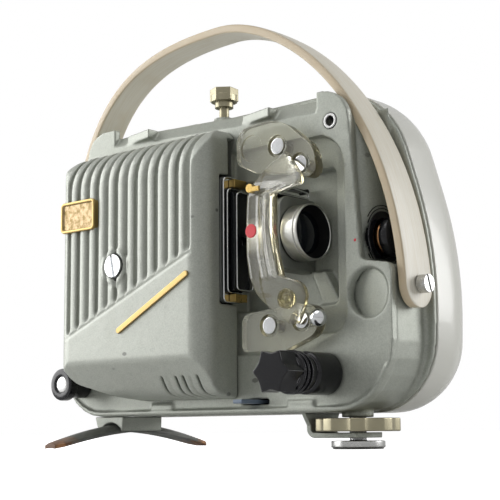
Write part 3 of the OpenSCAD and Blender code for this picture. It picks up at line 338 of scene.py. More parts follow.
# Paints and plastics: colour, roughness and, on the black ones, their shine
PAINTS = {
    "black_steel": ((0.008, 0.009, 0.011), 0.22, 0.4),
    "dull_black": ((0.004, 0.004, 0.004), 0.7, 0.12),
    "grey_steel": ((0.16, 0.17, 0.16), 0.45),
    "brown_plastic": ((0.10, 0.06, 0.04), 0.5),
    "red_paint": ((0.78, 0.035, 0.05), 0.3),
    "belt": ((0.03, 0.025, 0.02), 0.7),
    "motor_paint": ((0.06, 0.07, 0.08), 0.4),
    "lever_paint": ((0.18, 0.23, 0.31), 0.4),
}


def gilt():
    """Gilding, browner where the plate's field is set down inside its rim."""
    color = colors().gilt
    f = metal("gilt", color, 0.4, 0.14)
    stain = f.noise(420, 4, 0.65).above(0.35, 0.65)
    old = f.mix(stain, shade(color, 0.8, 0.85, 1.3), shade(color, 0.3))
    f.put("Base Color", f.mix(f.stored() * 0.9, rgba(color), old))
    return f


def black_plastic():
    """Glossy black moulding, with a painted light grey highlight along its edges."""
    color = (0.008, 0.008, 0.010)
    f = painted("black_plastic", color, 0.13, 0.4)
    # Painted highlight: light grey along the edges, in patches
    rubbing_and_highlight = f.highlit_edges(EDGE_RADIUS) * f.noise(300, 3).above(0.3, 0.5)
    f.put("Base Color", f.mix(rubbing_and_highlight, rgba(color), rgba((0.22, 0.22, 0.23))))
    return f


def laminations():
    """Varnished iron sheets, as fine lines across the core."""
    f = Finish("laminations", (0.12, 0.09, 0.07), 0.45, metallic=0.4)
    sheets = f.noise(1, 1, 0.5, f.place(scale=(2000, 20, 20))).above(0.4, 0.6)
    f.put("Base Color", f.mix(sheets, rgba((0.06, 0.05, 0.04)), rgba((0.17, 0.13, 0.10))))
    f.bump(sheets, 0.0001, 0.4)
    return f


def foot_paint():
    """Grey enamel, rubbed to brown and orange at both tips."""
    f = Finish("foot_paint", (0.12, 0.125, 0.11), 0.42)
    out = f.axis("X").math("ABSOLUTE")
    rubbing_and_highlight = (out + (f.noise(160, 4) - 0.5) * 0.02).above(0.043, 0.053)
    cloud = f.noise(300, 3).above(0.4, 0.7) * 0.4
    tone = f.mix(cloud, rgba((0.11, 0.115, 0.10)), rgba((0.17, 0.175, 0.16)))
    rust = f.mix(f.noise(120, 3).above(0.4, 0.6), rgba((0.17, 0.08, 0.035)), rgba((0.42, 0.20, 0.08)))
    f.put("Base Color", f.mix(rubbing_and_highlight, tone, rust))
    f.bump(f.noise(500, 3), 0.0001, 0.4, edge=0.0005)
    return f


def lens_glass():
    """Coated glass, dark against the black inside of the tube."""
    f = Finish("lens_glass", (0.006, 0.008, 0.012), 0.03, ior=1.5, coat_weight=0.3, coat_roughness=0.02)
    f.put("Roughness", 0.02 + f.noise(50, 2).above(0.5, 0.9) * 0.06)
    return f


def lamp_glass():
    return Finish("lamp_glass", (0.94, 0.96, 0.97), 0.02, transmission_weight=1.0, ior=1.45)


MAKERS = {maker.__name__: maker for maker in (
    hammertone, lamphouse_paint, cream_enamel, handle_plastic, clear_plastic, gilt, black_plastic,
    laminations, foot_paint, lens_glass, lamp_glass)}


# Mesh helpers

def colors():
    return bpy.context.scene.projector_colors


def sizes():
    return bpy.context.scene.projector_sizes


def cad_copy(node):
    """A merged copy of a CAD node's loose triangles."""
    bm = bmesh.new()
    bm.from_mesh(NODES[node].data)
    bmesh.ops.remove_doubles(bm, verts=bm.verts, dist=0.00001)
    bmesh.ops.dissolve_degenerate(bm, edges=bm.edges, dist=0.000005)
    return bm


# Angles in degrees: what is flat, what is an edge on sharp parts and on soft castings
FLAT_ANGLE = 1
EDGE_ANGLE = 32
CAST_ANGLE = 70
FLAT_FACES = ("WEIGHTED_NORMAL", {"keep_sharp": True})


def sharpen(bm, angle):
    """Smooth shading, with sharp edges where faces meet at more than an angle."""
    limit = math.radians(angle)
    for face in bm.faces:
        face.smooth = True
    for edge in bm.edges:
        edge.smooth = edge.is_manifold and edge.calc_face_angle(0) < limit


def mesh_of(bm, name):
    """A new mesh with the bmesh's shape, which frees the bmesh."""
    mesh = bpy.data.meshes.new(name)
    bm.to_mesh(mesh)
    bm.free()
    return mesh


def linked(name, data):
    """A new object in the scene."""
    item = bpy.data.objects.new(name, data)
    bpy.context.scene.collection.objects.link(item)
    return item


def make_piece(bm, name, node, finish=None):
    """Turns a bmesh into a piece that rides on the node's body."""
    piece = linked(name, mesh_of(bm, name))
    slot = finish or SLOT_OF[node]
    piece.data.materials.append(finish_named(slot))
    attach(piece, BODY_OF[node])
    return piece


def baked(piece, *modifiers):
    """Adds modifiers, each a type and its settings, and makes their result the piece's mesh."""
    for kind, settings in modifiers:
        modifier = piece.modifiers.new(kind.title(), kind)
        for key, value in settings.items():
            setattr(modifier, key, value)
    graph = bpy.context.evaluated_depsgraph_get()
    result = bpy.data.meshes.new_from_object(piece.evaluated_get(graph), depsgraph=graph)
    piece.modifiers.clear()
    old = piece.data
    piece.data = result
    bpy.data.meshes.remove(old)


def cast_skin(node, voxel, rounds, keep, carve):
    """Soft-edged skin of a cast node: remeshed, smoothed, carved by a depth in millimetres, thinned."""
    piece = make_piece(cad_copy(node), node + "_skin", node)
    baked(piece, ("REMESH", {"mode": "VOXEL", "voxel_size": voxel}),
          ("SMOOTH", {"factor": 0.5, "iterations": rounds}))

    def press(bm):
        bm.normal_update()
        depths = [carve(v.co / MM, v.normal) for v in bm.verts]
        for vert, depth in zip(bm.verts, depths):
            vert.co -= vert.normal * depth * MM

    reshape(piece, press)
    baked(piece, ("DECIMATE", {"ratio": keep}))
    reshape(piece, lambda bm: sharpen(bm, CAST_ANGLE))
    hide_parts(node)


def bevelled_skin(node, width, angle=EDGE_ANGLE, finish=None):
    """Copy of a CAD node with a real bevel along its sharp edges."""
    bm = cad_copy(node)
    bmesh.ops.dissolve_limit(bm, angle_limit=math.radians(FLAT_ANGLE), verts=bm.verts, edges=bm.edges)
    sharpen(bm, angle)
    piece = make_piece(bm, node + "_skin", node, finish)
    baked(piece, ("BEVEL", {"width": width, "segments": 3, "limit_method": "ANGLE",
                            "angle_limit": math.radians(angle)}))
    reshape(piece, lambda bm: sharpen(bm, 40))
    baked(piece, FLAT_FACES)
    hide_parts(node)
    return piece


def reshape(piece, change):
    """Makes a change to the piece's mesh as a bmesh."""
    bm = bmesh.new()
    bm.from_mesh(piece.data)
    change(bm)
    bm.to_mesh(piece.data)
    bm.free()


# Sizes and colours

def length(name, description, default, low, high):
    """A length that a user can change, given here in millimetres."""
    return FloatProperty(name=name, description=description, default=default * MM, min=low * MM,
                         max=high * MM, precision=5, unit="LENGTH")


def tint(name, description, default):
    """A colour that a user can change."""
    return FloatVectorProperty(name=name, description=description, default=default, min=0, max=1,
                               subtype="COLOR")


class ProjectorSizes(bpy.types.PropertyGroup):
    dimple: length("Finger dimple", "Diameter of the dimple beside the shelf", 24.4, 16, 28)
    cast_voxel: length("Casting detail", "Grain of the casting's soft-edged skin", 0.75, 0.5, 3)
    lamphouse_voxel: length("Lamphouse detail", "Grain of the lamphouse's soft-edged skin", 0.65, 0.4, 3)
    rib_crown: length("Rib crown", "How far each rib's middle stands above its edges", 0.9, 0, 2)
    groove_depth: length("Groove depth", "Depth of the grooves between the ribs", 1.1, 0, 2)
    groove_width: length("Groove width", "Half the width of the grooves between the ribs", 0.85, 0.3, 2)
    cover_edge: length("Cover edge", "Radius of the drive cover's outer edge", 26, 15, 30)
    cover_wall: length("Cover wall", "Thickness of the drive cover", 2.4, 1, 4)
    handle_end: length("Handle ends", "Width of the handle at its ends", 22, 16, 26)
    handle_top: length("Handle top", "Width of the handle at its top", 18, 14, 24)
    handle_thick: length("Handle thickness", "Thickness of the handle", 4.8, 2, 5)
    guide_rail: length("Guide rails", "Height of the rails along the film channel", 0.8, 0, 2)
    knob: length("Switch knob", "Diameter of the switch knob", 20, 14, 24)
    knurl_depth: length("Knurl", "Depth of the lens ring's knurl", 0.22, 0, 0.6)


class ProjectorColors(bpy.types.PropertyGroup):
    hammertone: tint("Hammertone", "Enamel of the casting", (0.40, 0.42, 0.37))
    lamphouse: tint("Lamphouse", "Enamel of the lamphouse", (0.45, 0.47, 0.42))
    cream: tint("Cream", "Enamel of the drive cover", (0.70, 0.70, 0.64))
    ivory: tint("Ivory", "Plastic of the handle", (0.80, 0.77, 0.67))
    clear: tint("Clear plastic", "Tint of the film guides", (0.92, 0.91, 0.83))
    clear_edge: tint("Clear plastic's edges", "Tint of the film guides' edges", (0.56, 0.49, 0.25))
    gilt: tint("Gilt", "Plate and bar on the lamphouse", (0.50, 0.36, 0.15))


class Stage(bpy.types.Operator):
    """Floor, lights and the camera at the photograph's angle"""

    bl_idname = "projector.stage"
    bl_label = "Stage"

    def execute(self, context):
        make_floor()
        make_lights()
        make_camera()
        return {"FINISHED"}


# The photograph's view: degrees, and pixels of its 500 pixel frame
CAMERA_SPOT = Vector((-471.03, -349.59, 8.84)) * MM
CAMERA_AZIMUTH = -48.5
CAMERA_TILT = 8.4
CAMERA_ROLL = -0.5
FOCAL_PIXELS = 1225
PHOTO_PIXELS = 500
SENSOR = 36


def make_camera():
    azimuth, tilt, roll = (math.radians(a) for a in (CAMERA_AZIMUTH, CAMERA_TILT, CAMERA_ROLL))
    forward = Vector((-math.sin(azimuth) * math.cos(tilt), math.cos(azimuth) * math.cos(tilt),
                      math.sin(tilt)))
    level = forward.cross(Vector((0, 0, 1))).normalized()
    upright = level.cross(forward)
    right = level * math.cos(roll) + upright * math.sin(roll)
    up = upright * math.cos(roll) - level * math.sin(roll)
    data = bpy.data.cameras.new("camera")
    data.sensor_width = SENSOR
    data.lens = SENSOR * FOCAL_PIXELS / PHOTO_PIXELS
    data.clip_start = 0.01
    camera = linked("camera", data)
    turn = Matrix((right, up, -forward)).transposed().to_4x4()
    camera.matrix_world = Matrix.Translation(CAMERA_SPOT) @ turn
    bpy.context.scene.camera = camera


def backdrop_material():
    """Pale floor, lifted to white for the camera except where the object shades it."""
    f = Finish("backdrop", (0.86, 0.86, 0.86), 0.9, emission_color=(1, 1, 1, 1))
    f.put("Emission Strength", ray(f.tree, "Camera") * 0.86)
    return f.material


def ray(tree, kind):
    """1 for rays of one kind, 0 for all others."""
    return add_node(tree, "ShaderNodeLightPath", output="Is %s Ray" % kind)


def make_floor():
    bm = bmesh.new()
    bmesh.ops.create_grid(bm, x_segments=1, y_segments=1, size=FLOOR_HALF)
    floor = linked("floor", mesh_of(bm, "floor"))
    floor.data.materials.append(backdrop_material())


# The floor's half side and the lights' spots and sizes in metres, and their power in watts
FLOOR_HALF = 3.0
MIDDLE = Vector((0, 0.08, 0.09))
LIGHTS = [
    ("key", (-0.46, 1.05, 0.42), (0.95, 0.95), 11),
    ("top", (-0.45, 0.1, 1.25), (0.8, 0.8), 4),
    ("right", (0.9, -0.85, 0.5), (0.6, 0.8), 8.5),
]
WORLD_LIGHT = 0.16
GLOSSY_LIGHT = 0.5


def make_lights():
    for name, spot, size, power in LIGHTS:
        data = bpy.data.lights.new(name, "AREA")
        data.shape = "RECTANGLE"
        data.size, data.size_y = size
        data.energy = power
        light = linked(name, data)
        light.location = spot
        light.rotation_mode = "QUATERNION"
        light.rotation_quaternion = (MIDDLE - Vector(spot)).to_track_quat("-Z", "Y")
    world = bpy.data.worlds.new("studio")
    world.use_nodes = True
    tree = world.node_tree
    background = tree.nodes["Background"]
    seen = ray(tree, "Camera").math("MAXIMUM", ray(tree, "Glossy") * GLOSSY_LIGHT)
    seen = seen.math("MAXIMUM", ray(tree, "Transmission"))
    background.inputs["Color"].default_value = (1, 1, 1, 1)
    feed(tree, background.inputs["Strength"], WORLD_LIGHT + seen * (1 - WORLD_LIGHT))
    bpy.context.scene.world = world
    bpy.context.scene.view_settings.view_transform = "Standard"


# Outlines, in millimetres as in the CAD source: corner points, counter-clockwise, with a radius at each

LEAST_RADIUS = 0.4
MERGE = 0.002


def edge_normal(a, b):
    along = (b - a).normalized()
    return Vector((-along.y, along.x))


def corner_arc(before, corner, after, radius, steps):
    u = (before - corner).normalized()
    v = (after - corner).normalized()
    half = math.acos(max(-1, min(1, u.dot(v)))) / 2
    centre = corner + (u + v).normalized() * radius / math.sin(half)
    start = corner + u * radius / math.tan(half) - centre
    end = corner + v * radius / math.tan(half) - centre
    begin = math.atan2(start.y, start.x)
    sweep = (math.atan2(end.y, end.x) - begin + math.pi) % math.tau - math.pi
    angles = [begin + sweep * i / steps for i in range(steps + 1)]
    return [centre + radius * Vector((math.cos(a), math.sin(a))) for a in angles]


def outline(corners, radii, inset, steps):
    """The rounded outline, drawn in by a distance, always with the same number of points."""
    corners = [Vector(c) for c in corners]
    moved = []
    for i, corner in enumerate(corners):
        a = edge_normal(corners[i - 1], corner)
        b = edge_normal(corner, corners[(i + 1) % len(corners)])
        moved.append(corner + (a + b) * inset / (1 + a.dot(b)))
    ring = []
    for i, corner in enumerate(moved):
        radius = max(radii[i] - inset, LEAST_RADIUS)
        ring += corner_arc(moved[i - 1], corner, moved[(i + 1) % len(moved)], radius, steps)
    return ring


def loft(rings, closed=True):
    """A skin through rings of points in millimetres, each extruded from the one before."""
    bm = bmesh.new()
    first = [bm.verts.new(Vector(p) * MM) for p in rings[0]]
    edges = [bm.edges.new((first[i - 1], first[i])) for i in range(len(first))]
    start = list(edges)
    loop = first
    for ring in rings[1:]:
        made = bmesh.ops.extrude_edge_only(bm, edges=edges)["geom"]
        edges = [e for e in made if isinstance(e, bmesh.types.BMEdge)
                 and all(v in set(made) for v in e.verts)]
        loop = next_loop(loop, edges)
        for vert, point in zip(loop, ring):
            vert.co = Vector(point) * MM
    if closed:
        bmesh.ops.contextual_create(bm, geom=start)
        bmesh.ops.contextual_create(bm, geom=edges)
    bmesh.ops.remove_doubles(bm, verts=bm.verts, dist=MERGE * MM)
    bmesh.ops.dissolve_degenerate(bm, edges=bm.edges, dist=0.001 * MM)
    bmesh.ops.recalc_face_normals(bm, faces=bm.faces)
    return bm


def next_loop(loop, edges):
    """The new vertices of an extrusion, in the order of the ones they came from."""
    fresh = {v for e in edges for v in e.verts}
    return [next(e.other_vert(v) for e in v.link_edges if e.other_vert(v) in fresh) for v in loop]


def turned(profile, spot, axis, steps):
    """A solid of revolution: (radius, height) pairs turned about an axis through a spot, in millimetres."""
    bm = bmesh.new()
    verts = [bm.verts.new((radius * MM, 0, height * MM)) for radius, height in profile]
    edges = [bm.edges.new(pair) for pair in zip(verts, verts[1:])]
    bmesh.ops.spin(bm, geom=[*verts, *edges], cent=(0, 0, 0), axis=(0, 0, 1), angle=math.tau,
                   steps=steps, use_merge=True)
    bmesh.ops.remove_doubles(bm, verts=bm.verts, dist=MERGE * MM)
    bmesh.ops.recalc_face_normals(bm, faces=bm.faces)
    return stood(bm, spot, axis)


def stood(bm, spot, axis, turn=0.0):
    """Turns a shape made round Z to its own axis, and moves it to its spot in millimetres."""
    tilt = Vector((0, 0, 1)).rotation_difference(Vector(axis)).to_matrix().to_4x4()
    matrix = Matrix.Translation(Vector(spot) * MM) @ tilt @ Matrix.Rotation(math.radians(turn), 4, "Z")
    bmesh.ops.transform(bm, matrix=matrix, verts=bm.verts)
    return bm


def prism(points, height, width, spot, axis, turn):
    """An outline in millimetres raised along an axis, with both its rims rounded."""
    bm = bmesh.new()
    face = bm.faces.new([bm.verts.new((x * MM, y * MM, 0)) for x, y in points])
    raised = bmesh.ops.extrude_face_region(bm, geom=[face])["geom"]
    top = [v for v in raised if isinstance(v, bmesh.types.BMVert)]
    bmesh.ops.translate(bm, vec=(0, 0, height * MM), verts=top)
    bmesh.ops.recalc_face_normals(bm, faces=bm.faces)
    rims = [e for e in bm.edges if len({round(v.co.z, 6) for v in e.verts}) == 1]
    bmesh.ops.bevel(bm, geom=rims, offset=width * MM, segments=3, profile=0.5, affect="EDGES",
                    material=-1, clamp_overlap=True)
    return stood(bm, spot, axis, turn)


def joined(*parts):
    """Several bmeshes as one."""
    whole = bmesh.new()
    for part in parts:
        mesh = mesh_of(part, "part")
        whole.from_mesh(mesh)
        bpy.data.meshes.remove(mesh)
    return whole


def add_shape(bm, name, node, angle, finish=None):
    """Makes a shape a piece: in the node's own finish it stands for it, in another it is a detail on it."""
    sharpen(bm, angle)
    piece = make_piece(bm, name, node, finish)
    baked(piece, FLAT_FACES)
    if finish is None:
        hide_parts(node)
    return piece


class PlainNodes(bpy.types.Operator):
    """Gives every CAD node that stays its finish"""

    bl_idname = "projector.plain_nodes"
    bl_label = "Finish the carried-over nodes"

    def execute(self, context):
        for name, node in NODES.items():
            node.data.materials.clear()
            node.data.materials.append(finish_named(SLOT_OF[name]))
        return {"FINISHED"}


class Casting(bpy.types.Operator):
    """Soft-edged die-cast body"""

    bl_idname = "projector.casting"
    bl_label = "Casting"

    def execute(self, context):
        cast_skin("main_casting", sizes().cast_voxel, rounds=1, keep=0.4, carve=dimple_depth)
        return {"FINISHED"}


# The finger dimple in millimetres: its middle's Y and Z, the X range of the plate's skins, the width of its
# rounded rim, and its depth in the middle with the gain towards its rear
DIMPLE = (-18.4, 71.6)
DIMPLE_SKINS = (-15.6, -8.5)
DIMPLE_RIM = 1.8
DIMPLE_DEPTH = 3.6
DIMPLE_GAIN = 3.2


def dimple_depth(spot, normal):
    """Depth of the finger dimple beside the shelf, pressed into both skins of the plate."""
    if abs(normal.x) < 0.5 or not DIMPLE_SKINS[0] < spot.x < DIMPLE_SKINS[1]:
        return 0.0
    radius = sizes().dimple / MM / 2
    off = math.hypot(spot.y - DIMPLE[0], spot.z - DIMPLE[1])
    if off > radius:
        return 0.0
    share = (spot.y - DIMPLE[0]) / radius
    depth = smooth_step(radius, radius - DIMPLE_RIM, off) * (DIMPLE_DEPTH + DIMPLE_GAIN * share)
    already = max(0.0, spot.x - PLATE_X) if normal.x < 0 else 0.0
    return math.copysign(max(0.0, depth - already), -normal.x)


# The lamphouse's ribs in millimetres: first groove's Y, pitch, number, the X that they end at, the Y, Z and
# slope of the line along their feet, and how much wider the first groove is
FIRST_GROOVE = 73
RIB_PITCH = 7.5
LAST_RIB = 12
RIB_BACK = -15.5
RIB_FOOT = (68.5, 100, -42 / 101.5)
FIRST_WIDER = 1.7


def smooth_step(low, high, x):
    t = max(0.0, min(1.0, (x - low) / (high - low)))
    return t * t * (3 - 2 * t)


def rib_depth(spot, normal):
    """Depth below the lamphouse's skin: crowned ribs with a soft groove between them."""
    if normal.x > -0.15 and normal.z < 0.25 or spot.x > RIB_BACK:
        return 0.0
    foot = RIB_FOOT[1] + RIB_FOOT[2] * (spot.y - RIB_FOOT[0])
    inside = smooth_step(foot - 0.5, foot + 3, spot.z)
    place = (spot.y - FIRST_GROOVE) / RIB_PITCH
    nearest = round(place)
    if inside == 0 or not 0 <= nearest <= LAST_RIB:
        return 0.0
    off = abs(place - nearest) * RIB_PITCH
    width = sizes().groove_width / MM * (FIRST_WIDER if nearest == 0 else 1.0)
    groove = sizes().groove_depth / MM * math.exp(-((off / width) ** 2))
    ends = smooth_step(-0.6, 0.4, place) * smooth_step(LAST_RIB + 0.9, LAST_RIB, place)
    crown = sizes().rib_crown / MM * (1 - (2 * off / RIB_PITCH)) ** 2
    return inside * (groove * ends + crown * ends)


class Lamphouse(bpy.types.Operator):
    """Lamphouse cover with crowned ribs"""

    bl_idname = "projector.lamphouse"
    bl_label = "Lamphouse"

    def execute(self, context):
        cast_skin("lamphouse_cover", sizes().lamphouse_voxel, rounds=4, keep=0.5, carve=rib_depth)
        return {"FINISHED"}


# The drive cover's side view as (Y, Z) corners with their radii, and the X of its seam and of its side
COVER_CORNERS = [(-35, 17), (199, 17), (202, 93), (176, 179.5), (-12, 179.5), (-38, 93)]
COVER_RADII = [35, 35, 200, 49, 49, 200]
SEAM_X = 15
SIDE_X = 55


def cover_ring(x, inset):
    return [(x, p.x, p.y) for p in outline(COVER_CORNERS, COVER_RADII, inset, 16)]


class DriveCover(bpy.types.Operator):
    """Smooth enamelled drive cover, rolled over at its outer edge"""

    bl_idname = "projector.drive_cover"
    bl_label = "Drive cover"

    def execute(self, context):
        edge = sizes().cover_edge / MM
        wall = sizes().cover_wall / MM
        arc = [math.radians(90 * i / 14) for i in range(15)]
        start = SIDE_X - edge
        bend = edge - wall
        rings = [cover_ring(start + bend * math.sin(a), wall + bend * (1 - math.cos(a)))
                 for a in reversed(arc)]
        rings += [cover_ring(SEAM_X, wall), cover_ring(SEAM_X, 0.5), cover_ring(SEAM_X + 0.15, 0.15)]
        rings += [cover_ring(SEAM_X + 0.6, 0), cover_ring(start - 4, 0)]
        rings += [cover_ring(start + edge * math.sin(a), edge * (1 - math.cos(a))) for a in arc]
        rings += [cover_ring(SIDE_X, edge + 6)]
        add_shape(loft(rings), "drive_cover_shell", "drive_cover", 50)
        return {"FINISHED"}


# The handle's outer line as (Y, Z) curves, the height of its screws and the rise over which it narrows
PIVOT_Z = 75
NARROWING = 150.5
BOW_FRONT = [(-37.5, 63), (-37.5, 168), (37.5, 223.5), (82, 223.5)]
BOW_REAR = [(82, 223.5), (162, 223.5), (201.5, 196), (201.5, 63)]


def bezier(a, b, c, d, t):
    s = 1 - t
    a, b, c, d = (Vector(p) for p in (a, b, c, d))
    return s ** 3 * a + 3 * s * s * t * b + 3 * s * t * t * c + t ** 3 * d


def bow_curve(steps):
    """Outer line of the handle from one lower end to the other, with more points near the ends."""
    spots = [0.5 - 0.5 * math.cos(math.pi * i / steps) for i in range(steps + 1)]
    return [bezier(*BOW_FRONT, 2 * s) if s < 0.5 else bezier(*BOW_REAR, 2 * s - 1) for s in spots]


def handle_half_width(z):
    end = sizes().handle_end / MM / 2
    top = sizes().handle_top / MM / 2
    if z < PIVOT_Z:
        return math.sqrt(max(0.0, end ** 2 - (PIVOT_Z - z) ** 2))
    return end + (top - end) * (z - PIVOT_Z) / NARROWING


def handle_section(half, thick):
    """Half round the strap's section as (across, depth) pairs: a crowned face, round edges, a flat back."""
    r = min(0.9, half * 0.6)
    crown = 0.4
    face = [(half - r) * k / 5 for k in range(-5, 6)]
    edge = [(half - 0.25 * r, crown + 0.25 * r), (half, crown + r)]
    edge += [(half, thick - r), (half - 0.3 * r, thick - 0.3 * r)]
    points = [(x, crown * (x / half) ** 2) for x in face] + edge
    points += [(x, thick) for x in reversed(face)]
    return points + [(-x, depth) for x, depth in reversed(edge)]


class Handle(bpy.types.Operator):
    """Moulded carrying strap"""

    bl_idname = "projector.handle"
    bl_label = "Handle"

    def execute(self, context):
        line = bow_curve(170)
        thick = sizes().handle_thick / MM
        rings = []
        for i, point in enumerate(line):
            along = (line[min(i + 1, len(line) - 1)] - line[max(i - 1, 0)]).normalized()
            inward = Vector((along.y, -along.x))
            half = handle_half_width(point.y)
            if half > 0.5:
                section = handle_section(half, thick)
                rings.append([(across, *(point + inward * depth)) for across, depth in section])
        piece = add_shape(loft(rings), "handle_strap", "carry_handle", 50)
        marked(piece, lambda v: abs(v.co.x) / MM > handle_half_width(v.co.z / MM) - 0.5)
        return {"FINISHED"}


# The lens in millimetres: X and Z of its axis, its ring, its barrel, and the Y of the block's front face
LENS = (-17, 103)
RING_R = 13.75
RING_LENGTH = 10.5
BARREL_R = 10.5
BLOCK_FRONT = 21.5

# Profiles as distances out from a radius and back from a face: the ring's front and rear, and the barrel
RING_FRONT = [(-3.2, 4.5), (-0.9, 0.5), (-0.7, 0.1), (-0.35, 0), (-0.05, 0.25), (0, 0.6), (0, 1.7),
              (-0.5, 1.9), (-0.5, 2.4), (0, 2.6)]
RING_REAR = [(0, -1.1), (-0.4, -0.6)]
BARREL = [(0, -0.5), (0, 23.5), (-0.4, 24), (-1.6, 24), (-1.6, -4)]


def offset(points, radius, height):
    """The profile's points, moved out by a radius and up by a height."""
    return [(radius + out, height + along) for out, along in points]


class Lens(bpy.types.Operator):
    """Focusing lens: knurled ring, bright rim and black inside"""

    bl_idname = "projector.lens"
    bl_label = "Lens"

    def execute(self, context):
        back = BLOCK_FRONT
        front = back - RING_LENGTH
        spot = (LENS[0], 0, LENS[1])
        ring = turned([*offset(RING_FRONT, RING_R, front), *offset(RING_REAR, RING_R, back),
                       *offset(BARREL, BARREL_R, back), (RING_R - 3.2, back - 4),
                       (RING_R - 3.2, front + 4.5)], spot, BACKWARD, 180)
        knurl(ring, spot, RING_R, front + 2.5, back - 0.8, sizes().knurl_depth / MM)
        add_shape(ring, "lens_mount", "lens_barrel", 40)
        lining = turned([*offset([(-0.95, 0.42), (-1.1, 0.36), (-3.5, 4.6)], RING_R, front),
                         *offset([(-3.5, -4.1), (-3.25, -4.1)], RING_R, back),
                         *offset([(-3.25, 4.75), (-0.95, 0.42)], RING_R, front)], spot, BACKWARD, 96)
        add_shape(lining, "lens_lining", "lens_barrel", 40, "dull_black")
        outer, inner = BARREL_R - 1.65, BARREL_R - 1.9
        tube = turned([(outer, back - 4), (inner, back - 4), (inner, back + 23.8), (outer, back + 23.8),
                       (outer, back - 4)], spot, BACKWARD, 96)
        add_shape(tube, "barrel_lining", "lens_barrel", 40, "dull_black")
        return {"FINISHED"}


def knurl(bm, spot, radius, low, high, depth):
    """Pushes every other line of a turned band in, about an axis along Y."""
    centre = Vector((spot[0], 0, spot[2])) * MM
    for vert in bm.verts:
        out = Vector((vert.co.x - centre.x, 0, vert.co.z - centre.z))
        if low * MM < vert.co.y < high * MM and abs(out.length - radius * MM) < 0.3 * MM:
            step = round(math.atan2(out.z, out.x) / math.tau * 180)
            if step % 2:
                vert.co -= out.normalized() * depth * MM


def marked(piece, test):
    """Stores on the piece's points where the finish changes: 1 where the test holds."""
    mark = piece.data.attributes.new("side", "FLOAT", "POINT")
    for i, vert in enumerate(piece.data.vertices):
        mark.data[i].value = float(test(vert))


# The film channel from top to bottom: height, left edge, right edge and face, in millimetres
CHANNEL = [
    (141, 22.5, 20.5, -26), (139, 25.9, 17.5, -27.5), (136, 30, 14.5, -29), (132, 34, 10.5, -31),
    (127.5, 37.2, 6.5, -33), (124, 38.4, 5.4, -34), (122.4, 38.8, 6.4, -34.4), (121.6, 38.9, 21.5, -34.8),
    (112, 39.4, 21.8, -34.9), (103, 39.5, 22, -34.9), (92, 39.4, 20, -34.9), (82, 37.8, 17.5, -34.8),
    (79.6, 37, 16.5, -34.6), (78.6, 36.8, 9, -34), (75, 36, 5.6, -33), (71, 33.6, 5.4, -31.5),
    (66, 28.5, 8.2, -30), (61.5, 22, 11.8, -28.5), (58.4, 18.5, 15.5, -27),
]


# What eases the table's corners, the channel's thickness, and the Z range in which it has its rails
CHANNEL_EASE = 0.9
CHANNEL_THICK = 3.8
RAILS_LOW = (77, 80.5)
RAILS_HIGH = (124, 121)


def channel_at(z, column):
    """The table's value at a height, averaged over a short length."""
    total = 0
    for spot in (z - CHANNEL_EASE, z, z + CHANNEL_EASE):
        spot = max(CHANNEL[-1][0], min(CHANNEL[0][0], spot))
        for upper, lower in zip(CHANNEL, CHANNEL[1:]):
            if spot >= lower[0]:
                break
        share = (spot - lower[0]) / (upper[0] - lower[0])
        total += lower[column] + (upper[column] - lower[column]) * share
    return total / 3


def guide_ring(z):
    """Section of the channel at a height: (x, y, z) points right round it."""
    left, right, face = (channel_at(z, column) for column in (1, 2, 3))
    back = face + CHANNEL_THICK
    inside = smooth_step(*RAILS_LOW, z) * smooth_step(*RAILS_HIGH, z)
    rail = sizes().guide_rail / MM * inside
    ring = []
    for k in range(33):
        s = k / 32
        ridge = max(0.55 * math.exp(-((s - 0.5) / 0.06) ** 4), math.exp(-((s - 0.82) / 0.13) ** 6))
        corner = 1.1 * (math.exp(-((s / 0.05) ** 2)) + math.exp(-(((1 - s) / 0.05) ** 2)))
        dish = 0.9 * (1 - inside) * math.sin(math.pi * s)
        ring.append((face - rail * ridge + corner - dish, left + (right - left) * s, z))
    for k in range(7):
        s = 1 - k / 6
        ring.append((back - 0.5 * (s > 0.99 or s < 0.01), left + (right - left) * (0.01 + 0.98 * s), z))
    return ring


class Guides(bpy.types.Operator):
    """Film guides moulded in clear plastic, with the curved channel between them"""

    bl_idname = "projector.guides"
    bl_label = "Film guides"

    def execute(self, context):
        top, low = CHANNEL[0][0], CHANNEL[-1][0]
        rings = [guide_ring(top + (low - top) * i / 110) for i in range(111)]
        channel = add_shape(loft(rings), "guide_channel", "centre_guide", 50)
        marked(channel, lambda v: abs(v.normal.y) > 0.6 or abs(v.co.y * 1000 - 30) < 0.6)
        for node in ("upper_guide", "lower_guide"):
            marked(bevelled_skin(node, 0.7 * MM, 40), lambda v: abs(v.normal.x) < 0.8)
        boss = turned([(0, 0), (4.2, 0), (4.8, -0.5), (4.8, -2.6), (4.3, -3.1), (3.5, -3.1), (3.0, -2.4),
                       (2.7, -1.0), (2.2, -1.0), (1.7, -1.9), (0.9, -2.5), (0, -2.7)],
                      (-31, 15.8, 70), (1, 0, 0), 40)
        marked(add_shape(boss, "guide_boss", "centre_guide", 35, "clear_plastic"), lambda v: True)
        return {"FINISHED"}


def rim(corners, radii, y, radius):
    """A round wire along a closed outline that faces along Y, its corners given as (x, z)."""
    points = [Vector((p.x, y, p.y)) for p in outline(corners, radii, 0, 8)]
    normal = Vector(BACKWARD)
    angles = [math.tau * k / 10 for k in range(10)]
    rings = []
    for i, point in enumerate(points):
        across = (points[(i + 1) % len(points)] - points[i - 1]).normalized().cross(normal)
        rings.append([point + (across * math.cos(a) + normal * math.sin(a)) * radius for a in angles])
    return loft([*rings, rings[0]], closed=False)


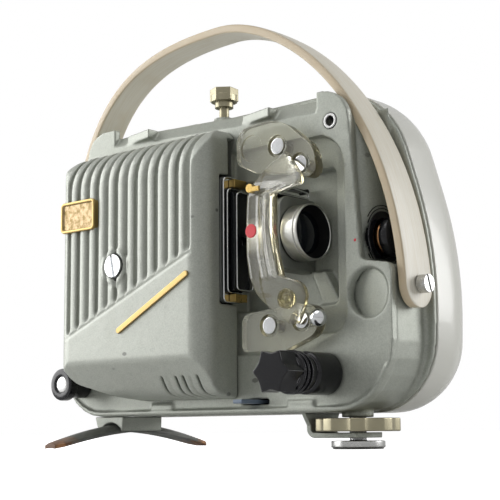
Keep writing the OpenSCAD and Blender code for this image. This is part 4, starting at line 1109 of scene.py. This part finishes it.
# Bright rims in millimetres: the box that each follows in X and Z, its Y and its wire's radius
GATE_RIMS = [
    ("gate_rim", "gate_frame", (-26.1, 72.7, -12.9, 135.8), 61.6, 0.5),
    ("plate_rim", "gate_plate", (-25.1, 77.2, -13.9, 129.8), 59.8, 0.38),
    ("pressure_rim", "pressure_plate", (-22.9, 78.2, -11.1, 127.8), 55.5, 0.35),
]


class GateTrim(bpy.types.Operator):
    """Bright rims on the gate's black plates, and the lens clip's bent wire"""

    bl_idname = "projector.gate_trim"
    bl_label = "Gate trim"

    def execute(self, context):
        for name, node, (x0, z0, x1, z1), y, radius in GATE_RIMS:
            ring = rim([(x0, z0), (x1, z0), (x1, z1), (x0, z1)], [2.2, 2.2, 2.2, 2.8], y, radius)
            add_shape(ring, name, node, 60, "chrome")
        bevelled_skin("lens_clip", 0.25 * MM, finish="black_steel")
        corners = [(-29.4, 121.5), (-6.2, 121.5), (-7.4, 124.4), (-29.0, 126.4)]
        loop = rim(corners, [1.2, 1.0, 1.0, 1.8], 22.3, 0.5)
        add_shape(loop, "clip_wire", "lens_clip", 60, "chrome")
        return {"FINISHED"}


class NamePlate(bpy.types.Operator):
    """Plain gilt plate with a raised rim"""

    bl_idname = "projector.name_plate"
    bl_label = "Name plate"

    def execute(self, context):
        corners = [(141.3, 116.5), (168.7, 116.5), (168.7, 133.5), (141.3, 133.5)]
        steps = [(-39, 0), (-41.9, 0), (-42.25, 0.15), (-42.4, 0.5), (-42.4, 1.1), (-42.2, 1.5),
                 (-41.5, 1.8), (-41.4, 2.3)]
        rings = [[(x, p.x, p.y) for p in outline(corners, [2.6] * 4, inset, 8)] for x, inset in steps]
        plate = add_shape(loft(rings), "gilt_plate", "name_plate", 50)
        marked(plate, lambda v: v.co.x > -41.6 * MM and abs(v.co.y - 155 * MM) < 12 * MM)
        return {"FINISHED"}


def star(points, radius, hollow):
    """Outline of a lobed knob: sides drawn in between its corners."""
    ring = []
    for i in range(points * 8):
        a = math.tau * i / (points * 8)
        side = math.cos(math.pi / points) / math.cos((a % (math.tau / points)) - math.pi / points)
        out = radius * (side - hollow * abs(math.sin(a * points / 2)))
        ring.append((out * math.cos(a), out * math.sin(a)))
    return ring


# The knobs in millimetres: Y and Z of the two on the left plate, and the Y of the inching knob's front
FRONT_KNOB = (6.5, 35)
REAR_KNOB = (179, 35)
INCHING_Y = -24

# The switch knob's stem: distances out from the knob's radius, and off the plate
SWITCH_STEM = [
    (-2.4, 30.5), (-1.6, 29.8), (-1.6, 29.0), (-0.3, 28.4), (0.1, 27.6), (-0.3, 26.9), (-1.7, 26.5),
    (-1.7, 26.1), (-0.2, 25.6), (0.1, 24.9), (-0.2, 24.2), (-1.7, 23.8), (-1.7, 22.6), (-0.3, 22.2),
    (-0.1, 21.4), (-0.4, 20.6), (-1.3, 20.3), (-1.3, 17.6), (-0.6, 17.3), (-0.1, 16.8), (0, 16.2),
    (0, 0.9), (-0.4, 0.4),
]


class Knobs(bpy.types.Operator):
    """Lobed switch knob, round rear knob and the inching knob with its copper collar"""

    bl_idname = "projector.knobs"
    bl_label = "Knobs"

    def execute(self, context):
        y, z = FRONT_KNOB
        radius = sizes().knob / MM / 2
        head = prism(star(6, radius + 0.6, 0.10), 11.4, 0.55, (PLATE_X - 29.6, y, z), LEFTWARD, 30)
        profile = [(0, 30.5), *offset(SWITCH_STEM, radius, 0), (0, 0.4)]
        stem = turned(profile, (PLATE_X, y, z), LEFTWARD, 96)
        add_shape(joined(head, stem), "switch_knob", "control_knob", 38)
        spot = (PLATE_X, *REAR_KNOB)
        rear = turned([(0, 16.1), (4.6, 16.1), (4.9, 16.3), (5.0, 16.9), (5.4, 17.2), (7.6, 17.2),
                       (8.5, 16.8), (8.8, 16.0), (8.8, 12.5), (8.4, 11.8), (7.3, 11.5), (7.2, 11.2),
                       (7.2, 0.9), (6.8, 0.4), (0, 0.4)], spot, LEFTWARD, 72)
        add_shape(rear, "round_knob", "rear_knob", 38)
        disc = turned([(0, 16.5), (3.9, 16.5), (4.4, 16.2), (4.4, 15.9), (0, 15.9)], spot, LEFTWARD, 48)
        add_shape(disc, "round_knob_disc", "rear_knob", 38, "steel")
        spot = (SHAFT_X, INCHING_Y, SHAFT_Z)
        knob = turned([(0, 0.3), (5.0, 0.3), (7.4, 0), (8.5, 0.3), (9.3, 1.1), (9.5, 2.2), (9.5, 3.8),
                       (9.2, 4.9), (8.4, 5.5), (7.0, 5.7), (0, 5.7)], spot, BACKWARD, 144)
        knurl(knob, spot, 9.5, INCHING_Y + 1.0, INCHING_Y + 5.0, 0.16)
        add_shape(knob, "shaft_knob", "inching_knob", 38)
        collar = turned([(0, 5.6), (6.9, 5.6), (7.7, 5.9), (7.9, 6.6), (7.4, 7.8), (7.4, 9.0), (8.0, 10.4),
                         (8.7, 11.4), (8.8, 12.6), (0, 12.6)], spot, BACKWARD, 72)
        add_shape(collar, "shaft_collar", "inching_collar", 38)
        return {"FINISHED"}


# Round the inching knob, in millimetres: the fine rings' radii, the red dot's Y and Z, and where the rings
# stop, at the shelf's top and the ear's side
COLUMN_RINGS = (14.2, 15.7)
INDEX_DOT = (-11.6, 96.7)
SHELF_TOP = 88.2
EAR_SIDE = -10.4


class ColumnRings(bpy.types.Operator):
    """Fine rings round the inching knob's pocket, its dark lining and the red index dot"""

    bl_idname = "projector.column_rings"
    bl_label = "Column rings"

    def execute(self, context):
        spot = (SHAFT_X, 0, SHAFT_Z)
        sleeve = turned([(9.2, -15.8), (9.2, -16.1), (9.5, -16.4), (12.6, -16.4), (12.9, -16.15),
                         (12.9, -15.8), (9.2, -15.8)], spot, BACKWARD, 96)
        cut_ring(sleeve)
        add_shape(sleeve, "pocket_sleeve", "main_casting", 40, "black_plastic")
        for radius in COLUMN_RINGS:
            inner, outer = radius - 0.16, radius + 0.16
            ring = turned([(inner, -15.8), (inner, -16.15), (radius, -16.35), (outer, -16.15),
                           (outer, -15.8), (inner, -15.8)], spot, BACKWARD, 96)
            cut_ring(ring)
            add_shape(ring, "column_ring_%d" % radius, "main_casting", 60, "dull_black")
        lining = turned([(9.3, -15.95), (9.4, -11.3), (0, -11.3), (0, -11.2), (9.45, -11.2), (9.45, -15.95),
                         (9.3, -15.95)], spot, BACKWARD, 72)
        add_shape(lining, "pocket_lining", "main_casting", 40, "black_plastic")
        profile = [(0, 0.2), (0.5, 0.15), (0.75, 0), (0.75, -0.3), (0, -0.3)]
        dot = turned(profile, (PLATE_X, *INDEX_DOT), LEFTWARD, 20)
        add_shape(dot, "index_dot", "main_casting", 40, "red_paint")
        return {"FINISHED"}


def cut_ring(bm):
    """Keeps the part of a ring that lies on the column, above the shelf and clear of the ear."""
    for spot, normal in (((0, 0, SHELF_TOP * MM), (0, 0, -1)), ((EAR_SIDE * MM, 0, 0), LEFTWARD)):
        bmesh.ops.bisect_plane(bm, geom=[*bm.verts, *bm.edges, *bm.faces], plane_co=spot, plane_no=normal,
                               clear_outer=True)
        edges = [e for e in bm.edges if e.is_boundary]
        if edges:
            bmesh.ops.holes_fill(bm, edges=edges, sides=0)


# Bevel widths in millimetres
SHARP_PARTS = {
    "ear_bush": 0.3, "cover_screws": 0.35, "coin_screw": 0.2, "trim_bar": 0.3,
    "thumb_screw": 0.45, "handle_screws": 0.25, "gate_bracket": 0.3, "gate_plate": 0.25, "gate_frame": 0.25,
    "pressure_plate": 0.25, "gate_blocks": 0.3, "guide_screws": 0.35, "marker_dot": 0.25, "guide_hook": 0.3,
    "lens_block": 0.8, "frame_lever": 0.5, "foot_bracket": 0.5, "foot_wheel": 0.6,
    "foot_screw": 0.4, "rear_foot_bracket": 0.5,
}


class SmallParts(bpy.types.Operator):
    """Real bevels on the screws, plates, gate parts and feet"""

    bl_idname = "projector.small_parts"
    bl_label = "Small parts"

    def execute(self, context):
        for node, width in SHARP_PARTS.items():
            bevelled_skin(node, width * MM)
        add_shape(cad_copy("rear_foot"), "rear_foot_bar", "rear_foot", 40)
        return {"FINISHED"}


CLASSES = [ProjectorSizes, ProjectorColors, Stage, PlainNodes, Casting, Lamphouse, DriveCover, Handle, Lens,
           Guides, GateTrim, NamePlate, Knobs, ColumnRings, SmallParts]
PIECES = [c for c in CLASSES if issubclass(c, bpy.types.Operator)]


class ProjectorPanel(bpy.types.Panel):
    bl_label = "Projector"
    bl_idname = "VIEW3D_PT_projector"
    bl_space_type = "VIEW_3D"
    bl_region_type = "UI"
    bl_category = "Projector"

    def draw(self, context):
        for piece in PIECES:
            self.layout.operator(piece.bl_idname)
        for group in (colors(), sizes()):
            for key in group.__annotations__:
                self.layout.prop(group, key)


def register():
    for item in (*CLASSES, ProjectorPanel):
        bpy.utils.register_class(item)
    bpy.types.Scene.projector_sizes = PointerProperty(type=ProjectorSizes)
    bpy.types.Scene.projector_colors = PointerProperty(type=ProjectorColors)


def unregister():
    del bpy.types.Scene.projector_colors
    del bpy.types.Scene.projector_sizes
    for item in reversed((*CLASSES, ProjectorPanel)):
        bpy.utils.unregister_class(item)


def main():
    register()
    for piece in PIECES:
        group, action = piece.bl_idname.split(".")
        getattr(getattr(bpy.ops, group), action)()


if __name__ == "__main__":
    main()
